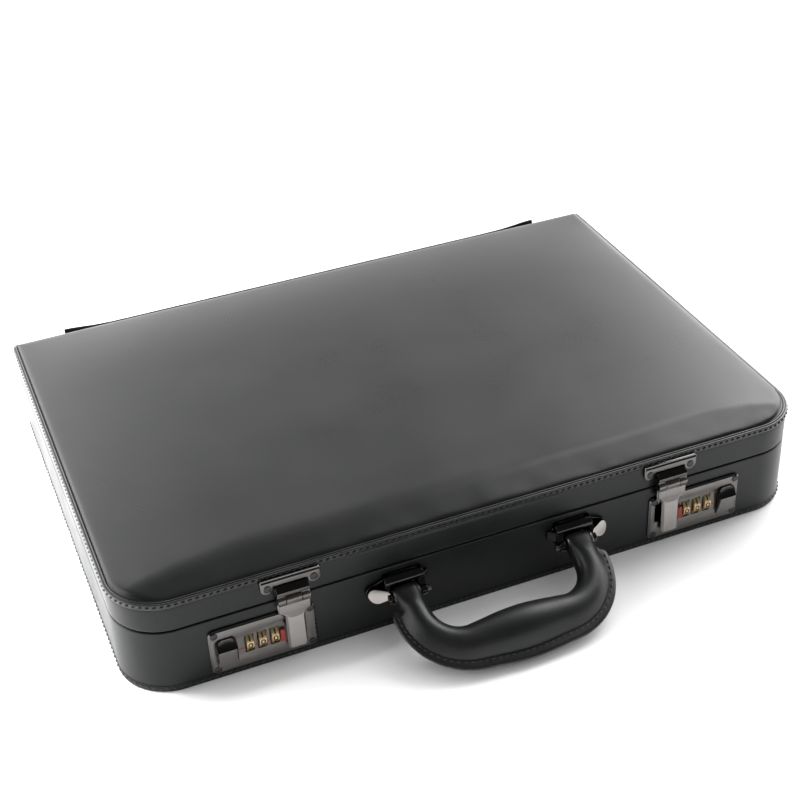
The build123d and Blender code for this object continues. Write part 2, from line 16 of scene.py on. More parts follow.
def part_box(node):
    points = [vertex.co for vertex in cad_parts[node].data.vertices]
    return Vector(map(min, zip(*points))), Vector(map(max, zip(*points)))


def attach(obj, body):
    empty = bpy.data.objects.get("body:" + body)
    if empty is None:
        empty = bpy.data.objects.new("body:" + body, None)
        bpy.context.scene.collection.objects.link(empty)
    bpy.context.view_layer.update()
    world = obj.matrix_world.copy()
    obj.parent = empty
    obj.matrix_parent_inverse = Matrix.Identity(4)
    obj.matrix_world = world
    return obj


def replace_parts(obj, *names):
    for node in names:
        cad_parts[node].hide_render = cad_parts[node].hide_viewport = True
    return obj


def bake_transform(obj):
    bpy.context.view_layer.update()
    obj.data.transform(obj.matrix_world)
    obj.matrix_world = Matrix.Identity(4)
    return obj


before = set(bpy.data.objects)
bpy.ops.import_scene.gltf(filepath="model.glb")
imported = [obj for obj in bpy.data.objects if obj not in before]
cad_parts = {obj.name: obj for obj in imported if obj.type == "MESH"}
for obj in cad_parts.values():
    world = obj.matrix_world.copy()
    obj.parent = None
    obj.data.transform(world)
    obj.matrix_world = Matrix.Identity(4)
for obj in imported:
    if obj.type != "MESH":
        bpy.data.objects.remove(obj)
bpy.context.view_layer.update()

MM = 0.001
TAU = 2 * math.pi
SIDES = (("left", -1), ("right", 1))


def corners(node):
    """Lowest and highest corner of a CAD node, in millimetres."""
    low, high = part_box(node)
    return low / MM, high / MM


# ---- sizes read from the frame -------------------------------------------------------------
BAND_HIGH = corners("base_side_band")[1]
LID_LOW, LID_HIGH = corners("lid_side_band")
HALF_W, HALF_D = BAND_HIGH.x, BAND_HIGH.y
FRONT_Y = -HALF_D
BASE_TOP = BAND_HIGH.z
LID_BOTTOM = LID_LOW.z
SEAM_Z = corners("lid_edge_binding")[1].z
PAD_TOP = corners("lid_top_cushion")[1].z
BIND_Z = LID_HIGH.z
LINING_LOW, LINING_HIGH = corners("base_lining")
WALL_IN = HALF_W - LINING_HIGH.x
FRONT_R = 32.0
BACK_R = 4.0


# ---- mesh helpers --------------------------------------------------------------------------
@contextmanager
def editing(mesh):
    """A mesh opened for editing and written back at the end."""
    work = bmesh.new()
    work.from_mesh(mesh)
    yield work
    work.to_mesh(mesh)
    work.free()


def link(obj):
    bpy.context.scene.collection.objects.link(obj)
    return obj


def new_object(name, mesh, materials):
    for material in materials:
        mesh.materials.append(material)
    return link(bpy.data.objects.new(name, mesh))


def clean(mesh):
    """Merges points that coincide and turns the normals outwards."""
    with editing(mesh) as work:
        bmesh.ops.remove_doubles(work, verts=work.verts, dist=1e-6)
        bmesh.ops.recalc_face_normals(work, faces=work.faces)


def smooth_all(mesh):
    mesh.polygons.foreach_set("use_smooth", [True] * len(mesh.polygons))


def ring_faces(rows, count, first=0, loop=False):
    """Quads between rings of count points; loop also joins the last ring to the first."""
    faces = []
    for row in range(rows if loop else rows - 1):
        low, high = first + row * count, first + (row + 1) % rows * count
        for step in range(count):
            nxt = (step + 1) % count
            faces.append((low + step, low + nxt, high + nxt, high + step))
    return faces


def tube_faces(rows, count, first=0):
    """Quads between rings of count points, with a face over each end."""
    starts = (first, first + (rows - 1) * count)
    return ring_faces(rows, count, first) + [tuple(range(s, s + count)) for s in starts]


def grid_faces(rows, columns):
    """Quads of an open sheet, one more point than quads in each direction."""
    width = columns + 1
    starts = [row * width + column for row in range(rows) for column in range(columns)]
    return [(a, a + 1, a + 1 + width, a + width) for a in starts]


def ease(t):
    """Goes from 0 to 1 with no slope at either end."""
    return t * t * (3 - 2 * t)


def build(name, verts, faces, materials, tidy=True):
    """A smooth mesh object from millimetre points, with its normals turned outwards."""
    mesh = bpy.data.meshes.new(name)
    mesh.from_pydata([Vector(v) * MM for v in verts], [], faces)
    if tidy:
        clean(mesh)
    smooth_all(mesh)
    return new_object(name, mesh, materials)


def tube(name, rings, materials):
    """Closed tube from rings of equally many points."""
    verts = [point for ring in rings for point in ring]
    return build(name, verts, tube_faces(len(rings), len(rings[0])), materials)


def evaluated(obj):
    """The mesh an object or curve has once its modifiers are applied."""
    graph = bpy.context.evaluated_depsgraph_get()
    return bpy.data.meshes.new_from_object(obj.evaluated_get(graph))


def freeze(obj):
    """Applies an object's modifiers to its mesh."""
    mesh = evaluated(obj)
    obj.modifiers.clear()
    obj.data = mesh
    return obj


def thickened(obj, thickness):
    """A sheet given thickness to both sides of its middle."""
    modifier = obj.modifiers.new("thickness", "SOLIDIFY")
    modifier.thickness = thickness * MM
    modifier.offset = 0
    return freeze(obj)


def joined(name, objects):
    """One object from several, keeping their materials and places."""
    bpy.context.view_layer.update()
    work = bmesh.new()
    materials = []
    for obj in objects:
        mesh = obj.data.copy()
        mesh.transform(obj.matrix_world)
        start = len(work.faces)
        work.from_mesh(mesh)
        work.faces.ensure_lookup_table()
        slots = []
        for material in mesh.materials:
            if material not in materials:
                materials.append(material)
            slots.append(materials.index(material))
        for face in work.faces[start:]:
            face.material_index = slots[face.material_index] if slots else 0
        bpy.data.meshes.remove(mesh)
        bpy.data.objects.remove(obj)
    result = bpy.data.meshes.new(name)
    work.to_mesh(result)
    work.free()
    return new_object(name, result, materials)


def swapped(obj):
    """The same piece turned over to the other half of the case."""
    obj.data.transform(Matrix.Scale(-1, 4, (1, 0, 0)))
    obj.data.flip_normals()
    return obj


def mirrored(obj, name):
    """A copy on the other half of the case."""
    return swapped(link(bpy.data.objects.new(name, obj.data.copy())))


def shade_by_angle(obj, degrees):
    """Smooth shading with hard edges kept where faces turn sharply."""
    limit = math.radians(degrees)
    with editing(obj.data) as work:
        for face in work.faces:
            face.smooth = True
        for edge in work.edges:
            edge.smooth = len(edge.link_faces) != 2 or edge.calc_face_angle(0) <= limit
    return obj


def two_tone(obj, axis, limit=0.985):
    """Second material on the faces that look along axis, the first on the rest."""
    direction = Vector(axis)
    for face in obj.data.polygons:
        face.material_index = 1 if face.normal.dot(direction) > limit else 0
    return obj


FRONT_PLANE = Matrix(((1, 0, 0), (0, 0, -1), (0, 1, 0))).to_4x4()
SIDE_PLANE = Matrix(((0, 0, 1), (1, 0, 0), (0, 1, 0))).to_4x4()
LEVEL_PLANE = Matrix.Identity(4)


def flat_piece(name, outlines, thickness, bevel, materials, plane, back, steps=2):
    """A plate cut to closed outlines (the first outside, the rest holes) with bevelled edges.

    plane turns the drawing into place, and back is how far along its normal the plate starts.
    """
    curve = bpy.data.curves.new(name, "CURVE")
    curve.dimensions = "2D"
    curve.fill_mode = "BOTH"
    for outline in outlines:
        spline = curve.splines.new("POLY")
        spline.points.add(len(outline) - 1)
        for point, (x, y) in zip(spline.points, outline):
            point.co = (x * MM, y * MM, 0, 1)
        spline.use_cyclic_u = True
    curve.extrude = (thickness / 2 - bevel) * MM
    curve.bevel_depth = bevel * MM
    curve.bevel_resolution = steps
    curve.offset = -bevel * MM
    shape = link(bpy.data.objects.new(name, curve))
    mesh = evaluated(shape)
    bpy.data.objects.remove(shape)
    mesh.transform(Matrix.Translation((0, 0, (back + thickness / 2) * MM)))
    mesh.transform(plane)
    clean(mesh)
    mesh.materials.clear()
    return shade_by_angle(new_object(name, mesh, materials), 28)


def arc(cx, cy, radius, start, end, steps=8):
    """Points on a circle from start to end degrees."""
    points = []
    for index in range(steps + 1):
        angle = math.radians(start + (end - start) * index / steps)
        points.append((cx + radius * math.cos(angle), cy + radius * math.sin(angle)))
    return points


def round_rect(cx, cy, width, height, radius, steps=6):
    w, h = width / 2 - radius, height / 2 - radius
    points = []
    for sx, sy, start in ((1, 1, 0), (-1, 1, 90), (-1, -1, 180), (1, -1, 270)):
        points += arc(cx + sx * w, cy + sy * h, radius, start, start + 90, steps)
    return points


def turned(name, profile, place, materials, steps=40, axis="X"):
    """A round part from (distance along the axis, radius) points, closed at both ends."""
    rings = []
    for along, radius in profile:
        ring = []
        for step in range(steps):
            angle = TAU * step / steps
            a, b = radius * math.cos(angle), radius * math.sin(angle)
            point = (along, a, b) if axis == "X" else (a, -along, b)
            ring.append(Vector(point) + Vector(place))
        rings.append(ring)
    return shade_by_angle(tube(name, rings, materials), 30)


# ---- materials -----------------------------------------------------------------------------
class Nodes:
    """Small helper that adds and links shader nodes."""

    def __init__(self, name):
        self.material = bpy.data.materials.new(name)
        self.material.use_nodes = True
        self.tree = self.material.node_tree
        self.shader = self.tree.nodes["Principled BSDF"]
        self.coords = self.add("ShaderNodeTexCoord").outputs["Object"]

    def add(self, kind, inputs=(), **settings):
        node = self.tree.nodes.new(kind)
        for key, value in settings.items():
            setattr(node, key, value)
        for key, value in dict(inputs).items():
            if isinstance(value, bpy.types.NodeSocket):
                self.tree.links.new(value, node.inputs[key])
            else:
                node.inputs[key].default_value = value
        return node

    def set(self, **values):
        for key, value in values.items():
            self.shader.inputs[key.replace("_", " ")].default_value = value

    def noise(self, size_mm, detail=3.0, rough=0.55, stretch=None, distortion=0.0):
        vector = self.coords
        if stretch:
            scaled = self.add("ShaderNodeMapping", {"Vector": vector, "Scale": stretch})
            vector = scaled.outputs["Vector"]
        inputs = {
            "Vector": vector,
            "Scale": 1 / (size_mm * MM),
            "Detail": detail,
            "Roughness": rough,
            "Distortion": distortion,
        }
        return self.add("ShaderNodeTexNoise", inputs).outputs["Fac"]

    def cells(self, size_mm, vector=None, feature="F1"):
        inputs = {"Vector": vector or self.coords, "Scale": 1 / (size_mm * MM)}
        return self.add("ShaderNodeTexVoronoi", inputs, feature=feature).outputs["Distance"]

    def spread(self, value, low, high, out_low=0.0, out_high=1.0):
        inputs = {
            "Value": value,
            "From Min": low,
            "From Max": high,
            "To Min": out_low,
            "To Max": out_high,
        }
        return self.add("ShaderNodeMapRange", inputs).outputs["Result"]

    def maths(self, operation, a, b):
        node = self.add("ShaderNodeMath", {0: a, 1: b}, operation=operation)
        return node.outputs["Value"]

    def blend(self, fac, a, b):
        node = self.add("ShaderNodeMix", {"Factor": fac}, data_type="RGBA")
        for index, value in ((6, a), (7, b)):
            if isinstance(value, bpy.types.NodeSocket):
                self.tree.links.new(value, node.inputs[index])
            else:
                node.inputs[index].default_value = (*value, 1)
        return node.outputs[2]

    def colour(self, value):
        self.tree.links.new(value, self.shader.inputs["Base Color"])

    def roughness(self, value):
        self.tree.links.new(value, self.shader.inputs["Roughness"])

    def bump(self, height, depth_mm, strength=1.0, base=None):
        inputs = {"Height": height, "Distance": depth_mm * MM, "Strength": strength}
        if base is not None:
            inputs["Normal"] = base
        node = self.add("ShaderNodeBump", inputs)
        self.tree.links.new(node.outputs["Normal"], self.shader.inputs["Normal"])
        return node.outputs["Normal"]


def leather(name, dark, light, rough, grain_mm, grain_depth, crease_depth=0.05, gloss=0.5):
    """Finished cowhide: fine cell grain, soft creases, mottled dye and uneven polish."""
    n = Nodes(name)
    warp = n.noise(2.2, 2.0)
    offset = n.add("ShaderNodeVectorMath", {0: n.coords, 1: (0, 0, 0)}, operation="ADD")
    shift = n.add("ShaderNodeVectorMath", {0: (0.0004, 0.0003, 0.0004)}, operation="SCALE")
    n.tree.links.new(warp, shift.inputs["Scale"])
    n.tree.links.new(shift.outputs["Vector"], offset.inputs[1])
    grain = n.cells(grain_mm, offset.outputs["Vector"])
    pores = n.noise(grain_mm * 0.45, 2.0)
    mix = n.maths("ADD", n.spread(grain, 0.0, 0.8), n.maths("MULTIPLY", pores, 0.6))
    dye = n.noise(38.0, 4.0, 0.6)
    n.colour(n.blend(n.spread(dye, 0.35, 0.68), dark, light))
    polish = n.noise(55.0, 3.0, 0.5)
    uneven = n.spread(polish, 0.3, 0.7, rough - 0.04, rough + 0.05)
    in_grain = n.spread(mix, 0.2, 1.2, 0.03, -0.03)
    n.roughness(n.maths("ADD", uneven, in_grain))
    first = None
    if crease_depth:
        first = n.bump(n.noise(9.0, 3.0, 0.5, distortion=0.3), crease_depth, 0.5)
    n.bump(mix, grain_depth, 0.8, first)
    n.set(Specular_IOR_Level=gloss)
    return n.material


def thread(name, colour):
    """Twisted black thread with a faint waxed shine."""
    n = Nodes(name)
    fibres = n.noise(0.25, 2.0)
    n.colour(n.blend(fibres, [c * 0.6 for c in colour], colour))
    n.roughness(n.spread(fibres, 0.3, 0.7, 0.42, 0.6))
    n.bump(fibres, 0.05, 0.6)
    return n.material


def plated(name, colour, rough, wear, brushed=None, grain_depth=0.004):
    """Plated metal: tinted mirror with fine brushing, cloudy polish and small pits."""
    n = Nodes(name)
    n.set(Metallic=1.0)
    cloud = n.noise(7.0, 4.0, 0.6)
    fine = n.noise(0.35, 3.0, 0.6, stretch=brushed)
    pale = [min(1.0, c * 1.06) for c in colour]
    n.colour(n.blend(n.spread(cloud, 0.3, 0.7), colour, pale))
    hazy = n.spread(cloud, 0.3, 0.7, rough - wear, rough + wear)
    n.roughness(n.maths("ADD", hazy, n.spread(fine, 0.3, 0.7, -0.03, 0.03)))
    n.bump(fine, grain_depth, 0.5)
    return n.material


def moulded(name, dark, light, rough):
    """Moulded plastic or enamel with a faint flow pattern and scuffs."""
    n = Nodes(name)
    flow = n.noise(3.0, 3.0, 0.6, distortion=0.8)
    scuffs = n.noise(0.5, 4.0, 0.7, stretch=(1, 1, 6))
    n.colour(n.blend(n.spread(flow, 0.3, 0.7), dark, light))
    n.roughness(n.spread(scuffs, 0.35, 0.7, rough, rough + 0.15))
    n.bump(scuffs, 0.01, 0.4)
    return n.material


def suede(name, dark, light):
    """Short-napped lining cloth."""
    n = Nodes(name)
    nap = n.noise(0.7, 4.0, 0.7)
    brushed = n.noise(26.0, 3.0, 0.6, distortion=1.5)
    mixed = n.maths("ADD", n.maths("MULTIPLY", nap, 0.5), n.maths("MULTIPLY", brushed, 0.5))
    n.colour(n.blend(n.spread(mixed, 0.35, 0.65), dark, light))
    n.roughness(n.spread(nap, 0.3, 0.7, 0.82, 0.95))
    n.bump(nap, 0.12, 0.7)
    n.set(Sheen_Weight=0.35, Sheen_Roughness=0.5)
    return n.material


def fibreboard(name):
    """Pressed board with flecks and a pressed surface."""
    n = Nodes(name)
    flecks = n.noise(1.4, 5.0, 0.7, stretch=(1, 1, 3))
    n.colour(n.blend(n.spread(flecks, 0.35, 0.65), (0.16, 0.10, 0.055), (0.36, 0.26, 0.16)))
    n.roughness(n.spread(flecks, 0.3, 0.7, 0.7, 0.9))
    n.bump(flecks, 0.06, 0.6)
    return n.material


def webbing(name, dark, light):
    """Ribbed elastic for the pen loops."""
    n = Nodes(name)
    wave_in = {"Vector": n.coords, "Scale": 1 / (6.28 * 0.55 * MM), "Distortion": 0.4}
    ribs = n.add("ShaderNodeTexWave", wave_in, bands_direction="X").outputs["Fac"]
    fuzz = n.noise(0.4, 3.0)
    n.colour(n.blend(ribs, dark, light))
    n.roughness(n.spread(fuzz, 0.3, 0.7, 0.7, 0.9))
    n.bump(n.maths("ADD", ribs, n.maths("MULTIPLY", fuzz, 0.4)), 0.12, 0.8)
    return n.material


TOP_LEATHER = leather(
    "top_leather", (0.0055, 0.006, 0.006), (0.0075, 0.008, 0.0078), 0.33, 0.7, 0.0, 0.004, 0.22
)
WALL_LEATHER = leather(
    "wall_leather", (0.004, 0.005, 0.005), (0.008, 0.009, 0.0088), 0.34, 0.7, 0.015, 0.03, 0.28
)
EDGE_LEATHER = leather(
    "edge_leather", (0.005, 0.0055, 0.0055), (0.011, 0.0115, 0.011), 0.33, 0.6, 0.035, 0.06, 0.5
)
GRIP_LEATHER = leather(
    "grip_leather", (0.004, 0.0045, 0.0045), (0.008, 0.0085, 0.0085), 0.4, 0.8, 0.045, 0.1, 0.42
)
THREAD = thread("black_thread", (0.006, 0.006, 0.0065))
# Paler grey thread: the lighter grey is painted sheen on the stitches.
THREAD_PAINTED_SHEEN = thread("thread_painted_sheen", (0.03, 0.031, 0.033))
SATIN = plated("satin_gunmetal", (0.145, 0.137, 0.132), 0.3, 0.006, (1, 1, 0.15), 0.0006)
# Paler copy of the satin gunmetal: painted highlight for the light the hasp face catches.
SATIN_PAINTED_HIGHLIGHT = plated("satin_painted_highlight", (0.29, 0.274, 0.264), 0.3, 0.006, (1, 1, 0.15), 0.0006)
CAP_SATIN = plated("cap_satin", (0.19, 0.179, 0.173), 0.3, 0.006, (1, 1, 0.15), 0.0006)
DARK_POLISH = plated("polished_gunmetal", (0.12, 0.117, 0.114), 0.09, 0.015)
# Near-black nickel: the handle brackets' own finish, and also painted shade on the thumb-piece
# scoop and the keeper ramp.
BLACK_NICKEL_AND_PAINTED_SHADE = plated("black_nickel_and_painted_shade", (0.04, 0.039, 0.038), 0.17, 0.02)
RIVET_METAL = plated("rivet_metal", (0.045, 0.045, 0.045), 0.25, 0.03)
BRIGHT = plated("bright_gunmetal", (0.30, 0.28, 0.27), 0.22, 0.02)
STEEL = plated("plain_steel", (0.42, 0.42, 0.425), 0.30, 0.06, (0.1, 1, 1), 0.006)
# Very dark steel for the lock boxes: painted shade, so the inside seen through the lock windows
# reads black.
LOCK_STEEL_PAINTED_SHADE = plated("lock_steel_painted_shade", (0.05, 0.05, 0.052), 0.45, 0.06, (0.1, 1, 1), 0.006)
BRASS = plated("dial_brass", (0.58, 0.445, 0.25), 0.42, 0.04, (1, 6, 6))
ENAMEL = moulded("digit_enamel", (0.004, 0.004, 0.004), (0.01, 0.0095, 0.009), 0.4)
RED = moulded("red_plastic", (0.19, 0.012, 0.007), (0.28, 0.02, 0.011), 0.3)
LINING = suede("lining_suede", (0.020, 0.021, 0.024), (0.045, 0.047, 0.052))
BOARD = fibreboard("fibreboard")
ELASTIC = webbing("pen_elastic", (0.012, 0.012, 0.013), (0.04, 0.04, 0.042))


# ---- plan of the case ----------------------------------------------------------------------
def plan(offset):
    """Points (x, y) and outward normals round the case, offset outwards, always PLAN_COUNT."""
    w, d = HALF_W + offset, HALF_D + offset
    front, back = max(FRONT_R + offset, 0.8), max(BACK_R + offset, 0.8)
    arcs = (
        (w - front, front - d, front, -90, 22, 48),
        (w - back, d - back, back, 0, 10, 74),
        (back - w, d - back, back, 90, 10, 48),
        (front - w, front - d, front, 180, 22, 64),
    )
    stations = []
    for cx, cy, radius, start, bends, _ in arcs:
        for step in range(bends + 1):
            angle = math.radians(start + 90 * step / bends)
            nx, ny = math.cos(angle), math.sin(angle)
            stations.append((cx + radius * nx, cy + radius * ny, nx, ny))
    result, first = [], 0
    for _, _, _, _, bends, runs in arcs:
        result += stations[first : first + bends + 1]
        a = stations[first + bends]
        b = stations[(first + bends + 1) % len(stations)]
        for step in range(1, runs):
            t = step / runs
            result.append((a[0] + (b[0] - a[0]) * t, a[1] + (b[1] - a[1]) * t, a[2], a[3]))
        first += bends + 1
    return result


PLAN_COUNT = len(plan(0))


def ring_piece(name, profile, materials, ripple):
    """A band round the case from a closed profile of (offset, z) points."""
    verts = []
    for offset, z in profile:
        for x, y, nx, ny in plan(offset):
            push = ripple * noise.noise(Vector((x, y, z)) / 60)
            verts.append((x + nx * push, y + ny * push, z))
    return build(name, verts, ring_faces(len(profile), PLAN_COUNT, loop=True), materials)


def rounded_profile(points, radius, steps=4):
    """Profile with every corner of an open line of (offset, z) points rounded."""
    result = [points[0]]
    for before, here, after in zip(points, points[1:], points[2:]):
        a, p, b = Vector(before), Vector(here), Vector(after)
        reach = min(radius, (a - p).length * 0.45, (b - p).length * 0.45)
        start, end = p + (a - p).normalized() * reach, p + (b - p).normalized() * reach
        for step in range(steps + 1):
            t = step / steps
            q = start * (1 - t) ** 2 + p * 2 * t * (1 - t) + end * t * t
            result.append((q.x, q.y))
    result.append(points[-1])
    return result


# ---- stitching -----------------------------------------------------------------------------
def stitch_row(
    name, path, lifts, closed, body, length=2.9, gap=1.1, radius=0.44, seed=1, slant=0.18,
    material=THREAD,
):
    """Arched stitches along a line of points, lying on a surface whose normals are lifts."""
    rng = random.Random(seed)
    points = [Vector(p) for p in path]
    ends = points[1:] + points[:1] if closed else points[1:]
    runs = [(a, b, Vector(la)) for a, b, la in zip(points, ends, lifts)]
    total = sum((b - a).length for a, b, _ in runs)
    count = int(total / (length + gap))
    pitch = total / count
    verts, faces = [], []
    rings, spokes = 6, 6
    walked, index = 0.0, 0
    for a, b, lift in runs:
        span = (b - a).length
        while index < count and (index + 0.5) * pitch <= walked + span:
            place = a.lerp(b, ((index + 0.5) * pitch - walked) / max(span, 1e-9))
            along = (b - a).normalized()
            across = lift.cross(along).normalized()
            turn = rng.uniform(-0.08, 0.08) + slant
            along, across = (
                along * math.cos(turn) + across * math.sin(turn),
                across * math.cos(turn) - along * math.sin(turn),
            )
            half = length / 2 * rng.uniform(0.95, 1.03)
            first = len(verts)
            for ring in range(rings + 1):
                t = -1 + 2 * ring / rings
                height = radius * (0.55 - 1.3 * t * t)
                girth = radius * (1 - 0.5 * t**4)
                centre = place + along * half * t + lift * height
                for spoke in range(spokes):
                    angle = TAU * spoke / spokes
                    verts.append(
                        centre + across * girth * math.cos(angle) + lift * girth * math.sin(angle)
                    )
            faces += tube_faces(rings + 1, spokes, first)
            index += 1
        walked += span
    obj = build(name, verts, faces, [material], tidy=False)
    with editing(obj.data) as work:
        bmesh.ops.recalc_face_normals(work, faces=work.faces)
    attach(obj, body)
    return obj


def ring_stitches(name, offset, z, body, seed, **sizes):
    loop = plan(offset)
    path = [(x, y, z) for x, y, _, _ in loop]
    lifts = [(nx, ny, 0) for _, _, nx, ny in loop]
    return stitch_row(name, path, lifts, True, body, seed=seed, **sizes)


# ---- shell ---------------------------------------------------------------------------------
def cut_boxes(obj, boxes):
    """Cuts axis-aligned boxes, given as two corners in millimetres, out of a mesh."""
    for index, (low, high) in enumerate(boxes):
        centre, size = (Vector(low) + Vector(high)) / 2, Vector(high) - Vector(low)
        mesh = bpy.data.meshes.new("cutter")
        work = bmesh.new()
        place = Matrix.Translation(centre * MM) @ Matrix.Diagonal((*(size * MM), 1))
        bmesh.ops.create_cube(work, size=1, matrix=place)
        work.to_mesh(mesh)
        work.free()
        cutter = new_object("cutter", mesh, [])
        modifier = obj.modifiers.new(f"cut_{index}", "BOOLEAN")
        modifier.operation = "DIFFERENCE"
        modifier.object = cutter
        freeze(obj)
        bpy.data.objects.remove(cutter)
    return obj


def lock_holes(reach_in):
    """Boxes through the front wall behind both lock plates."""
    boxes = []
    for side, _ in SIDES:
        low, high = corners(f"lock_case_{side}")
        boxes.append(((low.x, FRONT_Y - 3, low.z), (high.x, FRONT_Y + reach_in, high.z)))
    return boxes


TURN_DOWN = 3.0
RIM_ROUND = 1.3
HIDDEN = -1.4


def base_shell():
    turn_in = -WALL_IN
    profile = [(-0.2, 2.0), (-0.1, 3.6), (0.0, 4.4), (0.0, 6.0)]
    profile += [(0.06, 14.0), (0.1, 24.0), (0.06, 36.0)]
    rim = [(0.0, 42.0), (0.0, BASE_TOP), (turn_in, BASE_TOP), (turn_in, BASE_TOP - TURN_DOWN)]
    profile += rounded_profile(rim, RIM_ROUND)
    profile += [(HIDDEN, BASE_TOP - TURN_DOWN), (HIDDEN, 2.0)]
    band = ring_piece("base_leather_band", profile, [WALL_LEATHER], ripple=0.12)
    cut_boxes(band, lock_holes(1.6))
    shade_by_angle(band, 50)
    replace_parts(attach(band, "base"), "base_side_band")
    fold = [(-1.0, 0.05), (0.12, 0.06), (0.2, 0.2), (0.24, 0.6), (0.26, 2.2), (0.24, 3.9)]
    fold += [(0.2, 4.15), (0.04, 4.25), (-1.0, 4.3)]
    edge = shade_by_angle(ring_piece("base_edge_fold", fold, [WALL_LEATHER], ripple=0.1), 32)
    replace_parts(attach(edge, "base"), "base_edge_binding")
    # Base edge stitches in the paler thread, whose grey is painted sheen.
    stitches = ring_stitches("base_edge_stitches", 0.24, 2.5, "base", 3, radius=0.5,
                             material=THREAD_PAINTED_SHEEN)


def lid_shell():
    turn_in, turn_top = -WALL_IN, LID_BOTTOM + TURN_DOWN
    profile = [(HIDDEN, BIND_Z - 0.4), (HIDDEN, turn_top), (turn_in, turn_top)]
    rim = [(turn_in, turn_top), (turn_in, LID_BOTTOM), (0.0, LID_BOTTOM), (0.0, 48.0)]
    profile += rounded_profile(rim, RIM_ROUND)[1:]
    profile += [(0.06, 53.0), (0.04, 58.6), (0.0, 60.5), (-0.12, 61.1), (-0.42, 61.6)]
    profile += [(-0.8, 62.4), (-1.0, 63.2), (-1.4, 63.4)]
    band = ring_piece("lid_leather_band", profile, [WALL_LEATHER], ripple=0.12)
    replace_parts(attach(band, "lid"), "lid_side_band")
    outer = [(-0.7, 61.2), (0.1, 61.25), (0.24, 61.6), (0.3, 62.4), (0.27, 63.2), (0.36, 64.0)]
    outer += [(0.44, 64.5), (0.36, 64.9), (0.1, 65.12), (-0.5, 65.15), (-0.9, 65.0), (-1.0, 64.4)]
    inner = [(-2.3, 62.4), (-1.05, 62.4), (-1.0, 64.9), (-1.1, 65.3), (-1.4, 65.5)]
    inner += [(-2.0, 65.5), (-2.25, 65.25), (-2.3, 64.6)]
    folds = [
        ring_piece("fold_outer", outer, [EDGE_LEATHER], ripple=0.14),
        ring_piece("fold_inner", inner, [EDGE_LEATHER], ripple=0.1),
    ]
    edge = joined("lid_edge_folds", folds)
    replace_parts(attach(edge, "lid"), "lid_edge_binding")
    stitches = ring_stitches("lid_edge_stitches", 0.3, 63.1, "lid", 7, radius=0.52, slant=0.34)


PAD_INSET = 2.4
PAD_HALF_W, PAD_HALF_D = HALF_W - PAD_INSET, HALF_D - PAD_INSET
PAD_EDGE = 2.2
PAD_DOME = 80.0


def pad_rise(x, y):
    """Height of the padded top over the seam: flush sides and back, a long roll at the front."""
    qx = abs(x) - PAD_HALF_W + FRONT_R
    qy = -y - PAD_HALF_D + FRONT_R
    corner = math.hypot(max(qx, 0), max(qy, 0)) + min(max(qx, qy), 0) - FRONT_R
    from_side, from_back = PAD_HALF_W - abs(x), PAD_HALF_D - y
    from_front = PAD_HALF_D + y
    inside = max(min(-corner, from_back), 0.0)
    quick = 1 - math.exp(-inside / 0.9)
    dome = 1.0
    for distance in (from_side, from_back):
        dome *= 1 - (1 - min(max(distance, 0) / PAD_DOME, 1.0)) ** 2.2
    full = PAD_TOP - SEAM_Z
    level = quick * (PAD_EDGE + (full - PAD_EDGE) * dome**0.75)
    steep = 0.22 + 0.035 * noise.noise(Vector((x / 60, 2.2, 0.4)))
    roll = 0.9 * quick + steep * max(from_front, 0.0)
    soft = (0.4 + 1.1 * min(max((170 - x) / 200, 0.0), 1.0)) * quick
    overlap = max(soft - abs(level - roll), 0.0) / soft if soft > 1e-6 else 0.0
    return min(level, roll) - overlap * overlap * soft / 4


def pad_wrinkle(x, y, inset):
    """Small puckers beside the stitched front edge and a slow wave over the rest."""
    from_front = HALF_D + y
    near = math.exp(-max(from_front - 3.0, 0) / 11.0)
    start = min(inset / 2.0, 1.0)
    pucker = noise.noise(Vector((x / 7.5, y / 14, 3.1))) * 0.42 * near
    tuck = noise.noise(Vector((x / 19, y / 26, 6.1))) * 0.5 * near
    fine = noise.noise(Vector((x / 4, y / 4, 5.7))) * 0.05 * math.exp(-inset / 10.0)
    slow = noise.noise(Vector((x / 95, y / 95, 8.4))) * 0.16 * min(inset / 30, 1.0)
    return (pucker + tuck + fine) * start + slow


def lid_pad():
    """Padded top: nested loops from the seam inwards, with a middle face and an underside."""
    insets = [PAD_INSET, 2.5, 2.7, 3.0, 3.4, 3.9, 4.6, 5.5, 6.6, 7.8, 9.0, 10.4, 11.8, 13.2, 14.6]
    insets += [16, 17.4, 18.8, 20.2, 21.6, 23, 24.5, 26, 28, 30.5, 33.5, 37, 41, 46, 52]
    insets += [60, 70, 81, 93, 106, 120, 135]
    count = PLAN_COUNT
    under = SEAM_Z - 2.6
    verts = [(x, y, under) for x, y, _, _ in plan(-insets[0])]
    for inset in insets:
        for x, y, _, _ in plan(-inset):
            z = SEAM_Z - 0.9 + (pad_rise(x, y) + 0.9 if inset > insets[0] else 0.0)
            verts.append((x, y, z + pad_wrinkle(x, y, inset - insets[0])))
    faces = ring_faces(len(insets) + 1, count)
    faces.append(tuple(reversed(range(count))))
    faces.append(tuple(range(len(insets) * count, len(verts))))
    pad = build("lid_pad", verts, faces, [TOP_LEATHER])
    with editing(pad.data) as work:
        bmesh.ops.triangulate(work, faces=[f for f in work.faces if len(f.verts) > 4])
    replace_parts(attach(pad, "lid"), "lid_top_cushion")


